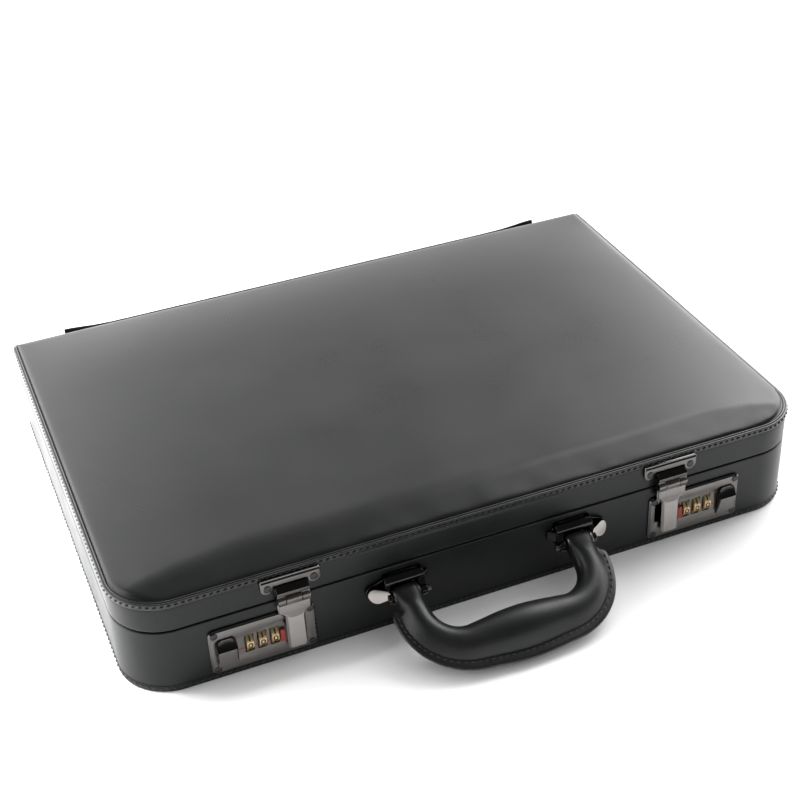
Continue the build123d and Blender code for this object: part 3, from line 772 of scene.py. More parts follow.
def underside():
    """Leather under the case, flat, with a slightly rounded edge."""
    loops = [(1.2, 1.2), (1.25, 0.5), (1.6, 0.15), (2.4, 0.04)]
    loops += [(inset, 0.0) for inset in (4.0, 8.0, 16, 30, 50, 80, 120)]
    verts = [(x, y, z) for inset, z in loops for x, y, _, _ in plan(-inset)]
    faces = ring_faces(len(loops), PLAN_COUNT)
    faces.append(tuple(range(len(verts) - PLAN_COUNT, len(verts))))
    faces.append(tuple(range(PLAN_COUNT)))
    cover = build("underside_leather", verts, faces, [WALL_LEATHER])
    shade_by_angle(cover, 50)
    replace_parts(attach(cover, "base"), "base_bottom_cover")


# ---- leather strip over the back hinge -----------------------------------------------------
HINGE_LOW, HINGE_HIGH = corners("hinge_pin")
AXIS_Z = (HINGE_LOW.z + HINGE_HIGH.z) / 2
STRIP_THICK = 1.5


def strip_line():
    """Middle line of the strip as (distance behind the wall, z), from bottom to top."""
    knots = [
        (0.9, 12.4), (1.0, 17.0), (1.0, 24.0), (1.1, 31.0), (1.9, 35.5), (3.9, 39.0),
        (5.6, 42.0), (6.05, AXIS_Z), (5.6, 47.0), (4.2, 50.0), (2.7, 53.5), (2.3, 57.0),
        (2.5, 59.5), (3.3, 61.6), (4.0, 63.2),
    ]
    line = []
    for index in range(len(knots) - 1):
        p = [Vector(knots[max(min(index + k, len(knots) - 1), 0)]) for k in (-1, 0, 1, 2)]
        for step in range(4):
            t = step / 4
            a = 2 * p[1] + (p[2] - p[0]) * t
            b = (2 * p[0] - 5 * p[1] + 4 * p[2] - p[3]) * t * t
            c = (3 * p[1] - p[0] - 3 * p[2] + p[3]) * t**3
            line.append((a + b + c) / 2)
    line.append(Vector(knots[-1]))
    return line


def hinge_strip():
    low, high = corners("hinge_strip_lower")
    line = strip_line()
    steps = 92
    normals = []
    for index in range(len(line)):
        a, b = line[max(index - 1, 0)], line[min(index + 1, len(line) - 1)]
        along = (b - a).normalized()
        normals.append(Vector((along.y, -along.x)))
    rings, outline = [], []
    half = STRIP_THICK / 2
    for point, normal in zip(line, normals):
        outline.append(point + normal * half)
    top, top_n = line[-1], normals[-1]
    up = Vector((-top_n.y, top_n.x))
    outline.append(top + up * half * 0.8)
    for point, normal in zip(reversed(line), reversed(normals)):
        outline.append(point - normal * half)
    outline.append(line[0] - Vector((-normals[0].y, normals[0].x)) * half * 0.8)
    for step in range(steps + 1):
        x = low.x + (high.x - low.x) * step / steps
        ring = []
        for out, z in outline:
            wave = 0.18 * noise.noise(Vector((x / 40, z / 25, 1.7)))
            from_end = min(x - low.x, high.x - x)
            flare = 2.4 * math.exp(-((from_end / 19) ** 2)) * min(max(z - 55, 0) / 8, 1.0)
            ring.append((x, HALF_D + out + wave, z + flare))
        rings.append(ring)
    strip = tube("back_hinge_strip", rings, [EDGE_LEATHER])
    shade_by_angle(strip, 60)
    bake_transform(strip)
    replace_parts(strip, "hinge_strip_lower", "hinge_strip_upper")
    rows = (("strip_stitches_low", 16.5, 1.0, "base"), ("strip_stitches_high", 57.5, 2.3, "lid"))
    for name, z, out, body in rows:
        path = [(low.x + 4 + index * 3, HALF_D + out + half, z) for index in range(120)]
        row = stitch_row(name, path, [(0, 1, 0)] * 120, False, body, seed=int(z))


# ---- inside --------------------------------------------------------------------------------
def lining_tray(name, wall_high, floor_z, sign, node, body, holes=()):
    """Lining as one piece: walls inside the boards, a coved corner and a flat floor."""
    inner, cove = WALL_IN + 1.0, 5.0
    profile = [(-WALL_IN, wall_high), (-WALL_IN - 0.25, wall_high + sign * 0.35)]
    profile += [(-inner + 0.2, wall_high + sign * 0.2), (-inner, wall_high - sign * 0.4)]
    for step in range(7):
        angle = math.radians(90 * step / 6)
        out = -inner - cove + cove * math.cos(angle)
        profile.append((out, floor_z + sign * (cove - cove * math.sin(angle))))
    verts = [(x, y, z) for offset, z in profile for x, y, _, _ in plan(offset)]
    faces = ring_faces(len(profile), PLAN_COUNT)
    back = len(verts)
    faces.append(tuple(range(back - PLAN_COUNT, back)))
    verts += [(x, y, floor_z - sign * 0.9) for x, y, _, _ in plan(-WALL_IN)]
    for step in range(PLAN_COUNT):
        nxt = (step + 1) % PLAN_COUNT
        faces.append((step, nxt, back + nxt, back + step))
    faces.append(tuple(range(back, len(verts))))
    tray = build(name, verts, faces, [LINING])
    if holes:
        cut_boxes(tray, holes)
    shade_by_angle(tray, 50)
    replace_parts(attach(tray, body), node)


def document_pocket():
    """Soft pouch on the lid's lining with a bound, slightly slack mouth towards the front."""
    low, high = corners("lid_document_pocket")
    columns, rows = 74, 34
    verts = []
    for row in range(rows + 1):
        v = row / rows
        for column in range(columns + 1):
            u = column / columns
            x = low.x + (high.x - low.x) * u
            y = low.y + (high.y - low.y) * v
            edge = min(u, 1 - u) * (high.x - low.x)
            side = min(edge / 9.0, 1.0) ** 0.5
            rear = min((1 - v) * (high.y - low.y) / 9.0, 1.0) ** 0.5
            sag = 0.55 * (1 - v) * math.sin(math.pi * u) + 0.35 * noise.noise(
                Vector((x / 34, y / 40, 5.0))
            )
            depth = (high.z - low.z - 0.6) * side * rear
            verts.append((x, y, high.z - depth - sag * side * rear))
    sheet = build("document_pocket_face", verts, grid_faces(rows, columns), [LINING], tidy=False)
    pouch = thickened(sheet, 0.9)
    spokes, rings = 8, []
    for mouth in verts[: columns + 1]:
        ring = []
        for spoke in range(spokes):
            angle = TAU * spoke / spokes
            flat = Vector((0, 2.6 * math.cos(angle), 0.9 * math.sin(angle)))
            ring.append(Vector(mouth) + Vector((0, 1.6, 0)) + flat)
        rings.append(ring)
    hem = tube("document_pocket_hem", rings, [EDGE_LEATHER])
    pocket = joined("document_pocket", [pouch, hem])
    smooth_all(pocket.data)
    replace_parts(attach(pocket, "lid"), "lid_document_pocket")


def pen_loops():
    low, high = corners("lid_pen_loops")
    loops = []
    strip_half, pitch = 7.0, 16.0
    centres = [low.x + strip_half + pitch * index for index in range(3)]
    for number, x in enumerate(centres):
        outline = [(x - 7, high.z - 0.1), (x - 4.4, high.z - 0.4)]
        outline += arc(x, high.z - 3.0, 2.9, 160, 380, 18)
        outline += [(x + 4.4, high.z - 0.4), (x + 7, high.z - 0.1)]
        rows = (low.y, low.y + 3, high.y - 3, high.y)
        verts = [(px, y, pz) for y in rows for px, pz in outline]
        faces = grid_faces(len(rows) - 1, len(outline) - 1)
        loop = build(f"pen_loop_{number}", verts, faces, [ELASTIC], tidy=False)
        loops.append(thickened(loop, 0.7))
    piece = joined("pen_loops", loops)
    smooth_all(piece.data)
    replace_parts(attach(piece, "lid"), "lid_pen_loops")


# ---- carried-over CAD nodes ----------------------------------------------------------------
def softened_copy(name, node, body, material, width):
    """A CAD node's shape with its edges rounded, standing in for the node."""
    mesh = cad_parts[node].data.copy()
    with editing(mesh) as work:
        bmesh.ops.remove_doubles(work, verts=work.verts, dist=2e-6)
        bmesh.ops.dissolve_limit(
            work, angle_limit=math.radians(1.0), verts=work.verts, edges=work.edges
        )
    mesh.materials.clear()
    obj = new_object(name, mesh, [material])
    modifier = obj.modifiers.new("edges", "BEVEL")
    modifier.width = width * MM
    modifier.segments = 2
    modifier.limit_method = "ANGLE"
    modifier.angle_limit = math.radians(28)
    modifier.harden_normals = False
    freeze(obj)
    shade_by_angle(obj, 32)
    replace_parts(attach(obj, body), node)


def paint(node, material):
    """New material on a CAD node that is shown as it is."""
    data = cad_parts[node].data
    data.materials.clear()
    data.materials.append(material)


# ---- locks ---------------------------------------------------------------------------------
PLATE_LOW, PLATE_HIGH = corners("lock_plate_right")
LOCK_X = (PLATE_LOW.x + PLATE_HIGH.x) / 2
PLATE_FRONT = -PLATE_LOW.y
PLATE_THICK = PLATE_HIGH.y - PLATE_LOW.y
DIAL_BOXES = [corners(f"dial_right_{number}") for number in (1, 2, 3)]
DIAL_XS = [(low.x + high.x) / 2 for low, high in DIAL_BOXES]
DIAL_AXIS = (DIAL_BOXES[0][0] + DIAL_BOXES[0][1]) / 2
DIAL_R = (DIAL_BOXES[0][1].y - DIAL_BOXES[0][0].y) / 2
DIAL_HALF = (DIAL_BOXES[0][1].x - DIAL_BOXES[0][0].x) / 2
DIAL_TURN = -2.0
FIGURE_HEIGHT = 3.3
FIGURE_WIDEN = 1.42
RIVET_INSET = 2.25
INDEX_Z = DIAL_AXIS.z - 2.6


def lock_plates():
    cx, cz = LOCK_X, (PLATE_LOW.z + PLATE_HIGH.z) / 2
    width, height = PLATE_HIGH.x - PLATE_LOW.x, PLATE_HIGH.z - PLATE_LOW.z
    slope, radius, skin = 1.15, 3.8, 0.9
    outline = round_rect(cx, cz, width, height, radius)
    face_line = round_rect(cx, cz, width - 2 * slope, height - 2 * slope, radius - slope)
    behind = PLATE_FRONT - skin + DIAL_AXIS.y
    window = 2 * math.sqrt(DIAL_R**2 - behind**2) + 0.25
    holes = [round_rect(x, DIAL_AXIS.z, 2 * DIAL_HALF + 0.7, window, 0.5, 2) for x in DIAL_XS]
    reset_low, reset_high = corners("reset_button_right")
    reset_x = (reset_low.x + reset_high.x) / 2
    reset_z = (reset_low.z + reset_high.z) / 2
    holes.append(round_rect(reset_x, reset_z, 4.0, 10.0, 1.9, 4))
    thumb_hole = round_rect(163.2, 20.2, 11.2, 14.0, 2.0)
    holes.append(thumb_hole)
    catches = {"right": (119.4, 24.4, 13.4, 13.8, 1.6), "left": (121.0, 24.4, 8.6, 13.8, 1.6)}
    edges = [157.0] + [x + s * (DIAL_HALF + 0.45) for x in reversed(DIAL_XS) for s in (1, -1)]
    edges.append(reset_x + 2.1)
    for side, sign in SIDES:
        lines = [face_line] + holes + [round_rect(*catches[side])]
        face = flat_piece(
            "plate_face", lines, skin, 0.12, [SATIN], FRONT_PLANE, PLATE_FRONT - skin, 1
        )
        verts = []
        levels = ((face_line, 0.06), (outline, slope * 0.85), (outline, PLATE_THICK))
        for loop, depth in levels:
            verts += [(x, -PLATE_FRONT + depth, z) for x, z in loop]
        faces = ring_faces(len(levels), len(outline))
        slopes = shade_by_angle(build("plate_slopes", verts, faces, [DARK_POLISH]), 30)
        plate = joined(f"lock_face_{side}", [face, slopes])
        bars = []
        for start, end in zip(edges[::2], edges[1::2]):
            bar = round_rect((start + end) / 2, INDEX_Z, abs(start - end), 1.0, 0.2, 2)
            bars.append(
                flat_piece("index", [bar], 0.16, 0.05, [RED], FRONT_PLANE, PLATE_FRONT - 0.08, 1)
            )
        index_line = joined(f"index_lines_{side}", bars)
        if sign < 0:
            plate = swapped(plate)
            index_line = swapped(index_line)
        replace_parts(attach(plate, "base"), f"lock_plate_{side}")
        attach(index_line, "base")


def dial_wheel(name, x):
    """Ten slightly hollow brass faces with a notch between each two, and bevelled sides."""
    verts, ring = [], []
    for index in range(10):
        middle = TAU * index / 10 + math.radians(DIAL_TURN)
        for part, radius in ((-0.46, 0.93), (-0.40, 1.0), (-0.2, 0.985), (0.0, 0.98),
                             (0.2, 0.985), (0.40, 1.0), (0.46, 0.93)):
            angle = middle + part * TAU / 10
            ring.append((radius * DIAL_R * math.cos(angle), radius * DIAL_R * math.sin(angle)))
    stations = [(-1.0, 0.22), (-1.0, 0.82), (-0.97, 0.93), (-0.86, 1.0), (0.86, 1.0),
                (0.97, 0.93), (1.0, 0.82), (1.0, 0.22)]
    for along, scale in stations:
        for a, b in ring:
            verts.append((x + along * DIAL_HALF, DIAL_AXIS.y + a * scale, DIAL_AXIS.z + b * scale))
    count = len(ring)
    faces = ring_faces(len(stations), count)
    last = (len(stations) - 1) * count
    for k in range(count):
        nxt = (k + 1) % count
        faces.append((k, nxt, last + nxt, last + k))
    wheel = build(name, verts, faces, [BRASS])
    return shade_by_angle(wheel, 25)


def digit_mesh(text, height):
    """Flat outline of one figure, height in millimetres, centred on the origin."""
    curve = bpy.data.curves.new("figure", "FONT")
    curve.body = text
    curve.align_x = "CENTER"
    curve.align_y = "CENTER"
    curve.size = height * 1.38 * MM
    curve.extrude = 0.05 * MM
    curve.offset = 0.09 * MM
    shape = link(bpy.data.objects.new("figure", curve))
    mesh = evaluated(shape)
    bpy.data.objects.remove(shape)
    xs = [v.co.x for v in mesh.vertices]
    ys = [v.co.y for v in mesh.vertices]
    middle = Vector(((min(xs) + max(xs)) / 2, (min(ys) + max(ys)) / 2, 0))
    mesh.transform(Matrix.Translation(-middle))
    return mesh


def dial_digits(name, x):
    """Figures 0 to 9 round a wheel, the nought on the index line."""
    parts = []
    for value in range(10):
        angle = DIAL_TURN + 36.0 * value
        mesh = digit_mesh(str(value), FIGURE_HEIGHT)
        mesh.materials.clear()
        mesh.transform(Matrix.Diagonal((FIGURE_WIDEN, 1.0, 1.0, 1.0)))
        mesh.transform(Matrix.Translation((0, 0, (DIAL_R * 0.985) * MM)))
        mesh.transform(Matrix.Rotation(math.radians(90), 4, "X"))
        mesh.transform(Matrix.Rotation(math.radians(-angle), 4, "X"))
        mesh.transform(Matrix.Translation(Vector((x, DIAL_AXIS.y, DIAL_AXIS.z)) * MM))
        parts.append(new_object(f"figure_{value}", mesh, [ENAMEL]))
    return joined(name, parts)


def dials():
    for side, sign in SIDES:
        for number, x in enumerate(DIAL_XS, start=1):
            body = f"dial_{side}_{number}"
            wheel = dial_wheel(f"wheel_{side}_{number}", sign * x)
            figures = dial_digits(f"figures_{side}_{number}", sign * x)
            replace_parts(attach(wheel, body), body)
            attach(figures, body)


def reset_pegs():
    low, high = corners("reset_button_right")
    cx, cz = (low.x + high.x) / 2, (low.z + high.z) / 2
    outline = round_rect(cx, cz, high.x - low.x, high.z - low.z, 1.65, 6)
    depth = high.y - low.y
    peg = flat_piece("reset_peg_right", [outline], depth, 0.95, [RED], FRONT_PLANE, -high.y, 4)
    for side, piece in (("right", peg), ("left", mirrored(peg, "reset_peg_left"))):
        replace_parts(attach(piece, f"reset_button_{side}"), f"reset_button_{side}")


def thumb_slides():
    """Thumb piece: satin face leaning out to a lip, scoop above painted near-black as shade, stem
    and bolt.
    """
    middle, wide = 163.15, 6.25
    flush, lip_depth, scoop_depth = PLATE_FRONT + 0.25, 0.8, 0.35
    rows = [(10.4, 0.35), (10.5, 0.7)]
    rows += [(10.8 + 12.2 * step / 12, 0.9 + 2.9 * step / 12) for step in range(13)]
    rows += [(23.22, 3.82), (23.4, 3.72), (23.6, 3.45), (24.4, 2.9), (25.4, 2.35), (26.4, 1.85)]
    rows += [(27.4, 1.4), (28.4, 1.0), (29.1, 0.75), (29.5, 0.5)]
    columns = 16
    front, back = [], []
    for z, out in rows:
        crown = min(max((z - 25.4) / 4.4, 0.0), 1.0)
        half = wide * (1 - 0.42 * crown**2.4)
        for column in range(columns + 1):
            u = -1 + 2 * column / columns
            u = math.copysign(1 - (1 - abs(u)) ** 1.4, u)
            edge = max(0.0, 1 - (1 - abs(u)) * half / lip_depth)
            dish = scoop_depth * (1 - u * u) if 23.9 < z < 29.2 else 0.0
            front.append((middle + half * u, -(flush + (out - dish) * (1 - 0.3 * edge**2)), z))
            back.append((middle + half * u, -flush + 0.05, z))
    width, count = columns + 1, len(front)
    faces = []
    for row in range(len(rows) - 1):
        for column in range(columns):
            a = row * width + column
            faces.append((a, a + 1, a + 1 + width, a + width))
            faces.append((count + a, count + a + width, count + a + 1 + width, count + a + 1))
        for a in (row * width, row * width + columns):
            faces.append((a, a + width, count + a + width, count + a))
    for first in (0, (len(rows) - 1) * width):
        for a in range(first, first + columns):
            faces.append((a, a + 1, count + a + 1, count + a))
    # Faces not looking forward and down, mostly the scoop, get the near-black: painted shade for
    # the dark the hollow reflects.
    face = build("thumb_face", front + back, faces, [BLACK_NICKEL_AND_PAINTED_SHADE, CAP_SATIN])
    two_tone(face, Vector((0, -1, -0.24)).normalized(), 0.96)
    shade_by_angle(face, 40)
    stem = [round_rect(161.9, 19.0, 7.0, 10.0, 1.0)]
    parts = [face]
    parts.append(flat_piece("stem", stem, 4.6, 0.3, [DARK_POLISH], FRONT_PLANE, 150.8, 1))
    bolt_outline = [(126.9, 26.6), (128.4, 26.6), (128.4, 29.8), (158.4, 29.8), (158.4, 23.5),
                    (165.4, 23.5), (165.4, 32.6), (126.9, 32.6)]
    parts.append(flat_piece("bolt", [bolt_outline], 2.0, 0.25, [STEEL], FRONT_PLANE, 150.6, 1))
    slide = joined("thumb_slide_right", parts)
    for side, piece in (("right", slide), ("left", mirrored(slide, "thumb_slide_left"))):
        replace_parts(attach(piece, f"release_slider_{side}"), f"release_slider_{side}")


def rivet_heads(name, places, radius, rise, y_front, material):
    """Low domed heads, each with a narrow step round it."""
    parts = []
    for index, (x, z) in enumerate(places):
        profile = [(-0.3, radius), (rise * 0.45, radius), (rise * 0.62, radius * 0.93)]
        for step in range(1, 7):
            angle = math.radians(90 * step / 6)
            profile.append(
                (rise * (0.62 + 0.38 * math.sin(angle)), radius * 0.9 * math.cos(angle) + 0.02)
            )
        parts.append(
            turned(f"{name}_{index}", profile, (x, -y_front, z), [material], 28, axis="Y")
        )
    return joined(name, parts)


def lock_rivets():
    low, high = corners("lock_rivets")
    z_low, z_high = low.z + RIVET_INSET, high.z - RIVET_INSET
    outer = high.x - RIVET_INSET
    inner = 2 * LOCK_X - outer
    places = [(sign * x, z) for _, sign in SIDES for x in (inner, outer) for z in (z_low, z_high)]
    heads = rivet_heads("lock_rivet_heads", places, 2.2, 0.6, PLATE_FRONT, RIVET_METAL)
    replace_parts(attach(heads, "base"), "lock_rivets")


# ---- hasps and keepers ---------------------------------------------------------------------
PIN_LOW, PIN_HIGH = corners("hasp_pin_right")
HASP_X = (PIN_LOW.x + PIN_HIGH.x) / 2
KNUCKLE_OUT = -(PIN_LOW.y + PIN_HIGH.y) / 2
KNUCKLE_Z = (PIN_LOW.z + PIN_HIGH.z) / 2
KNUCKLE_R = 2.4
ROW_HALF = (PIN_HIGH.x - PIN_LOW.x) / 2
MID_HALF = 4.7


def knuckle(name, x0, x1, materials):
    """Rolled barrel with softened ends."""
    r = KNUCKLE_R + 0.35
    profile = [(x0, 0.6), (x0, r - 0.35), (x0 + 0.12, r - 0.12), (x0 + 0.4, r)]
    profile += [(x1 - 0.4, r), (x1 - 0.12, r - 0.12), (x1, r - 0.35), (x1, 0.6)]
    return turned(name, profile, (0, -KNUCKLE_OUT, KNUCKLE_Z), materials, 40)


def hasp_outline():
    low, _ = corners("hasp_right")
    half, wide = 5.9, 9.6
    bottom, neck, shoulder, top = low.z, 33.2, 38.6, 44.4
    right = arc(HASP_X + half - 2.3, bottom + 2.3, 2.3, 270, 360, 6)
    flare = []
    for step in range(9):
        t = step / 8
        flare.append((HASP_X + half + (wide - half) * ease(t), neck + (shoulder - neck) * t))
    right += flare + arc(HASP_X + wide - 0.6, top - 0.6, 0.6, 0, 90, 3)
    left = [(2 * HASP_X - x, z) for x, z in reversed(right)]
    return right + left


def hasps():
    back, lean_from, lean_over, lean_out = PLATE_FRONT + 0.3, 44.4, 34, 1.0
    # Front faces of the tongue take the paler satin copy: painted highlight; the edges stay
    # polished.
    tongue = flat_piece(
        "hasp_tongue", [hasp_outline()], 2.8, 1.25, [DARK_POLISH, SATIN_PAINTED_HIGHLIGHT], FRONT_PLANE, back, 0
    )
    two_tone(tongue, (0, -1, 0), 0.5)
    wide, bottom = 9.3, 34.6
    cap_line = [(HASP_X + wide, 43.9), (HASP_X - wide, 43.9)]
    for sign in (-1, 1):
        curve = []
        for step in range(9):
            t = step / 8
            out = 5.2 + (wide - 5.2) * (1 - ease(t))
            curve.append((HASP_X + sign * out, 38.9 - 3.4 * t))
        cap_line += curve if sign < 0 else curve[::-1]
        if sign < 0:
            cap_line += [(HASP_X + 5.0 * u, bottom - 0.9 * (1 - u * u)) for u in
                         (-0.75, -0.5, -0.25, 0, 0.25, 0.5, 0.75)]
    cap = flat_piece(
        "hasp_cap", [cap_line], 0.9, 0.4, [DARK_POLISH, CAP_SATIN], FRONT_PLANE, back + 2.4, 2
    )
    two_tone(cap, (0, -1, 0), 0.45)
    for piece in (tongue, cap):
        for vertex in piece.data.vertices:
            below = max(lean_from * MM - vertex.co.z, 0)
            vertex.co.y -= lean_out * MM * below / (lean_over * MM)
    parts = [tongue, cap]
    parts.append(knuckle("hasp_knuckle", HASP_X - MID_HALF, HASP_X + MID_HALF, [SATIN]))
    web = [(-KNUCKLE_OUT - 2.3, KNUCKLE_Z - 0.6), (-KNUCKLE_OUT + 2.0, KNUCKLE_Z - 0.6)]
    web += [(-KNUCKLE_OUT + 2.0, 43.4), (-KNUCKLE_OUT - 1.3, 43.4)]
    parts.append(
        flat_piece("hasp_web", [web], 2 * MID_HALF - 0.2, 0.15, [CAP_SATIN], SIDE_PLANE,
                   HASP_X - MID_HALF + 0.1, 1)
    )
    lug = round_rect(HASP_X, 22.5, 5.6, 5.0, 0.8, 3)
    parts.append(flat_piece("hasp_lug", [lug], 2.4, 0.3, [DARK_POLISH], FRONT_PLANE, back - 1.9, 1))
    hasp = joined("hasp_tongue_right", parts)
    for side, piece in (("right", hasp), ("left", mirrored(hasp, "hasp_tongue_left"))):
        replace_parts(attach(piece, f"hasp_{side}"), f"hasp_{side}")


def keepers():
    low, high = corners("keeper_right")
    cx, top = HASP_X, high.z
    half = (high.x - low.x) / 2
    lobe_x, lobe_z = 13.8, 55.8
    outline = arc(cx + half - 1.8, top - 1.8, 1.8, 0, 90, 5)
    outline += arc(cx - half + 1.8, top - 1.8, 1.8, 90, 180, 5)
    outline += arc(cx - lobe_x, lobe_z, 4.1, 180, 330, 12)
    outline += [(cx - 9.9, 56.2), (cx + 9.9, 56.2)]
    outline += arc(cx + lobe_x, lobe_z, 4.1, 210, 360, 12)
    plate = flat_piece(
        "keeper_plate", [outline], 2.0, 0.75, [DARK_POLISH, SATIN], FRONT_PLANE, -FRONT_Y, 1
    )
    two_tone(plate, (0, -1, 0))
    ridge = [(FRONT_Y + 0.2, 59.6), (FRONT_Y + 0.2, top + 0.1), (FRONT_Y - 1.3, top - 0.1)]
    ridge += [(FRONT_Y - 2.75, top - 1.9), (FRONT_Y - 2.75, 59.6)]
    parts = [plate]
    parts.append(
        flat_piece("keeper_ridge", [ridge], 2 * half - 1.6, 0.3, [DARK_POLISH, SATIN],
                   SIDE_PLANE, cx - half + 0.8, 2)
    )
    two_tone(parts[-1], (0, -1, 0), 0.95)
    foot = KNUCKLE_Z + KNUCKLE_R + 0.6
    ramp = [(FRONT_Y, 56.0), (-PLATE_FRONT - 0.2, 56.0), (-PLATE_FRONT - 0.7, 55.6)]
    ramp += [(-KNUCKLE_OUT - 1.2, foot + 3.5), (-KNUCKLE_OUT - 1.6, foot + 3.0)]
    ramp += [(-KNUCKLE_OUT - 0.9, foot), (FRONT_Y, foot)]
    # The ramp's upward faces get the near-black: painted shade for the dark they reflect; faces
    # looking forward stay satin.
    parts.append(
        flat_piece("keeper_ramp", [ramp], 2 * ROW_HALF, 0.35, [BLACK_NICKEL_AND_PAINTED_SHADE, SATIN], SIDE_PLANE,
                   cx - ROW_HALF, 2)
    )
    two_tone(parts[-1], (0, -1, 0), 0.86)
    for x0, x1 in ((cx - ROW_HALF, cx - MID_HALF - 0.2), (cx + MID_HALF + 0.2, cx + ROW_HALF)):
        parts.append(knuckle("keeper_knuckle", x0, x1, [SATIN]))
        web = [(FRONT_Y, KNUCKLE_Z + 0.2), (FRONT_Y, foot + 0.4)]
        web += [(-KNUCKLE_OUT - 0.8, foot + 0.4), (-KNUCKLE_OUT - 1.2, KNUCKLE_Z + 1.2)]
        parts.append(
            flat_piece("keeper_web", [web], x1 - x0, 0.2, [DARK_POLISH], SIDE_PLANE, x0, 1)
        )
        lower = [(-KNUCKLE_OUT - 2.6, KNUCKLE_Z - 0.4), (-KNUCKLE_OUT + 1.2, KNUCKLE_Z - 0.4)]
        lower += [(-KNUCKLE_OUT + 1.2, KNUCKLE_Z - 2.4), (-KNUCKLE_OUT - 2.0, KNUCKLE_Z - 2.4)]
        parts.append(
            flat_piece("keeper_lip", [lower], x1 - x0, 0.2, [SATIN], SIDE_PLANE, x0, 1)
        )
    keeper = joined("keeper_piece_right", parts)
    for side, piece in (("right", keeper), ("left", mirrored(keeper, "keeper_piece_left"))):
        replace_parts(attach(piece, "lid"), f"keeper_{side}")
    places = [(sign * (cx + s * lobe_x), lobe_z) for _, sign in SIDES for s in (-1, 1)]
    heads = rivet_heads("keeper_rivet_heads", places, 2.35, 0.6, PLATE_FRONT, RIVET_METAL)
    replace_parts(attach(heads, "lid"), "keeper_rivets")


# ---- handle --------------------------------------------------------------------------------
EYE_R = 6.1
EYE_BLEND = 12
HPIN_LOW, HPIN_HIGH = corners("handle_pin_right")
PIVOT = Vector((0, (HPIN_LOW.y + HPIN_HIGH.y) / 2, (HPIN_LOW.z + HPIN_HIGH.z) / 2))
ARM_X = 56.1
CORNER_X = 53.2
GRIP_REACH = 40.6
BEND_R = 26.0
TILT = math.radians(22.0)
FORWARD = Vector((0, -math.cos(TILT), -math.sin(TILT)))
UPWARD = Vector((0, -math.sin(TILT), math.cos(TILT)))


def arm_x(reach):
    """The arms lean in towards the grip."""
    return ARM_X + (CORNER_X - ARM_X) * reach / GRIP_REACH


def handle_line(start, step=2.0):
    """Centre line of the handle in its own plane: (x, reach, outward x, outward reach, s)."""
    lean = math.atan2(ARM_X - CORNER_X, GRIP_REACH)
    sweep = math.pi / 2 - lean
    trim = BEND_R * math.tan(sweep / 2)
    along = (math.sin(lean), math.cos(lean))
    straight = (GRIP_REACH - start) / math.cos(lean) - trim
    bend = BEND_R * sweep
    total = 2 * (straight + bend + CORNER_X - trim)
    origin = (-arm_x(start), start)
    turn = (origin[0] + along[0] * straight, origin[1] + along[1] * straight)
    centre = (turn[0] + BEND_R * math.cos(lean), turn[1] - BEND_R * math.sin(lean))
    count = int(total / step)
    line = []
    for index in range(count + 1):
        s = total * index / count
        mirror = s > total / 2
        d = total - s if mirror else s
        if d <= straight:
            x, reach = origin[0] + along[0] * d, origin[1] + along[1] * d
            nx, ny = -math.cos(lean), math.sin(lean)
        elif d <= straight + bend:
            angle = lean + (d - straight) / BEND_R
            nx, ny = -math.cos(angle), math.sin(angle)
            x, reach = centre[0] + BEND_R * nx, centre[1] + BEND_R * ny
        else:
            x, reach, nx, ny = -CORNER_X + trim + d - straight - bend, GRIP_REACH, 0.0, 1.0
        if mirror:
            x, nx = -x, -nx
        line.append((x, reach, nx, ny, s - total / 2))
    return line


def grip_radius(s):
    """Padding is fattest in the middle and slimmest where the arms enter the brackets."""
    m = abs(s)
    return 8.3 + 0.8 * math.exp(-((m / 62) ** 4)) + 3.8 * math.exp(-((m / 29) ** 2))


def in_handle(x, reach, lift):
    return PIVOT + Vector((x, 0, 0)) + FORWARD * reach + UPWARD * lift


def handle_padding():
    line = handle_line(-EYE_R + 0.15, 1.2)
    spokes = 48
    rings = []
    for x, reach, nx, ny, s in line:
        radius = grip_radius(s)
        width = depth = radius
        if reach < EYE_BLEND and abs(s) > 40:
            t = ease(max(reach, 0.0) / EYE_BLEND)
            depth = math.sqrt(max(EYE_R**2 - min(reach, 0.0) ** 2, 0.2))
            depth += (radius - EYE_R) * t if reach > 0 else 0.0
            width = radius - (0.5 * (reach / EYE_R) ** 4 if reach < 0 else 0.0)
            power = 0.6 + 0.4 * t
        else:
            power = 1.0
        ring = []
        for spoke in range(spokes):
            angle = TAU * spoke / spokes
            near, up = math.cos(angle), math.sin(angle)
            pinch = 2.0 * max(near, 0.0) ** 10 if reach > 11 else 0.0
            squeeze = 1.0 - 0.06 * max(near, 0.0) ** 3
            lump = 0.06 * noise.noise(Vector((s / 10, up * 1.3, near * 1.3)))
            crease = -0.45 * math.exp(-(((angle - 2.5) / 0.16) ** 2)) * math.exp(
                -(((abs(s) - 68) / 9) ** 2)
            )
            a = width * math.copysign(abs(near) ** power, near) + pinch + (lump + crease) * near
            b = depth * math.copysign(abs(up) ** power, up) * squeeze + (lump + crease) * up
            ring.append(in_handle(x + nx * a, reach + ny * a, b))
        rings.append(ring)
    grip = tube("handle_padding", rings, [GRIP_LEATHER])
    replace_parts(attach(grip, "handle"), "handle_grip")


WELT_HALF = 1.25
WELT_OUT = 7.2


def welt_reach(s, total):
    """Width of the stitched edge, slimmer on the arms and rounded off at its two ends."""
    from_end = total / 2 - abs(s)
    width = WELT_OUT - 1.6 * min(max(abs(s) - 30, 0) / 30, 1.0)
    return width * min(1.0, math.sqrt(max(from_end, 0.02) / 4.0))


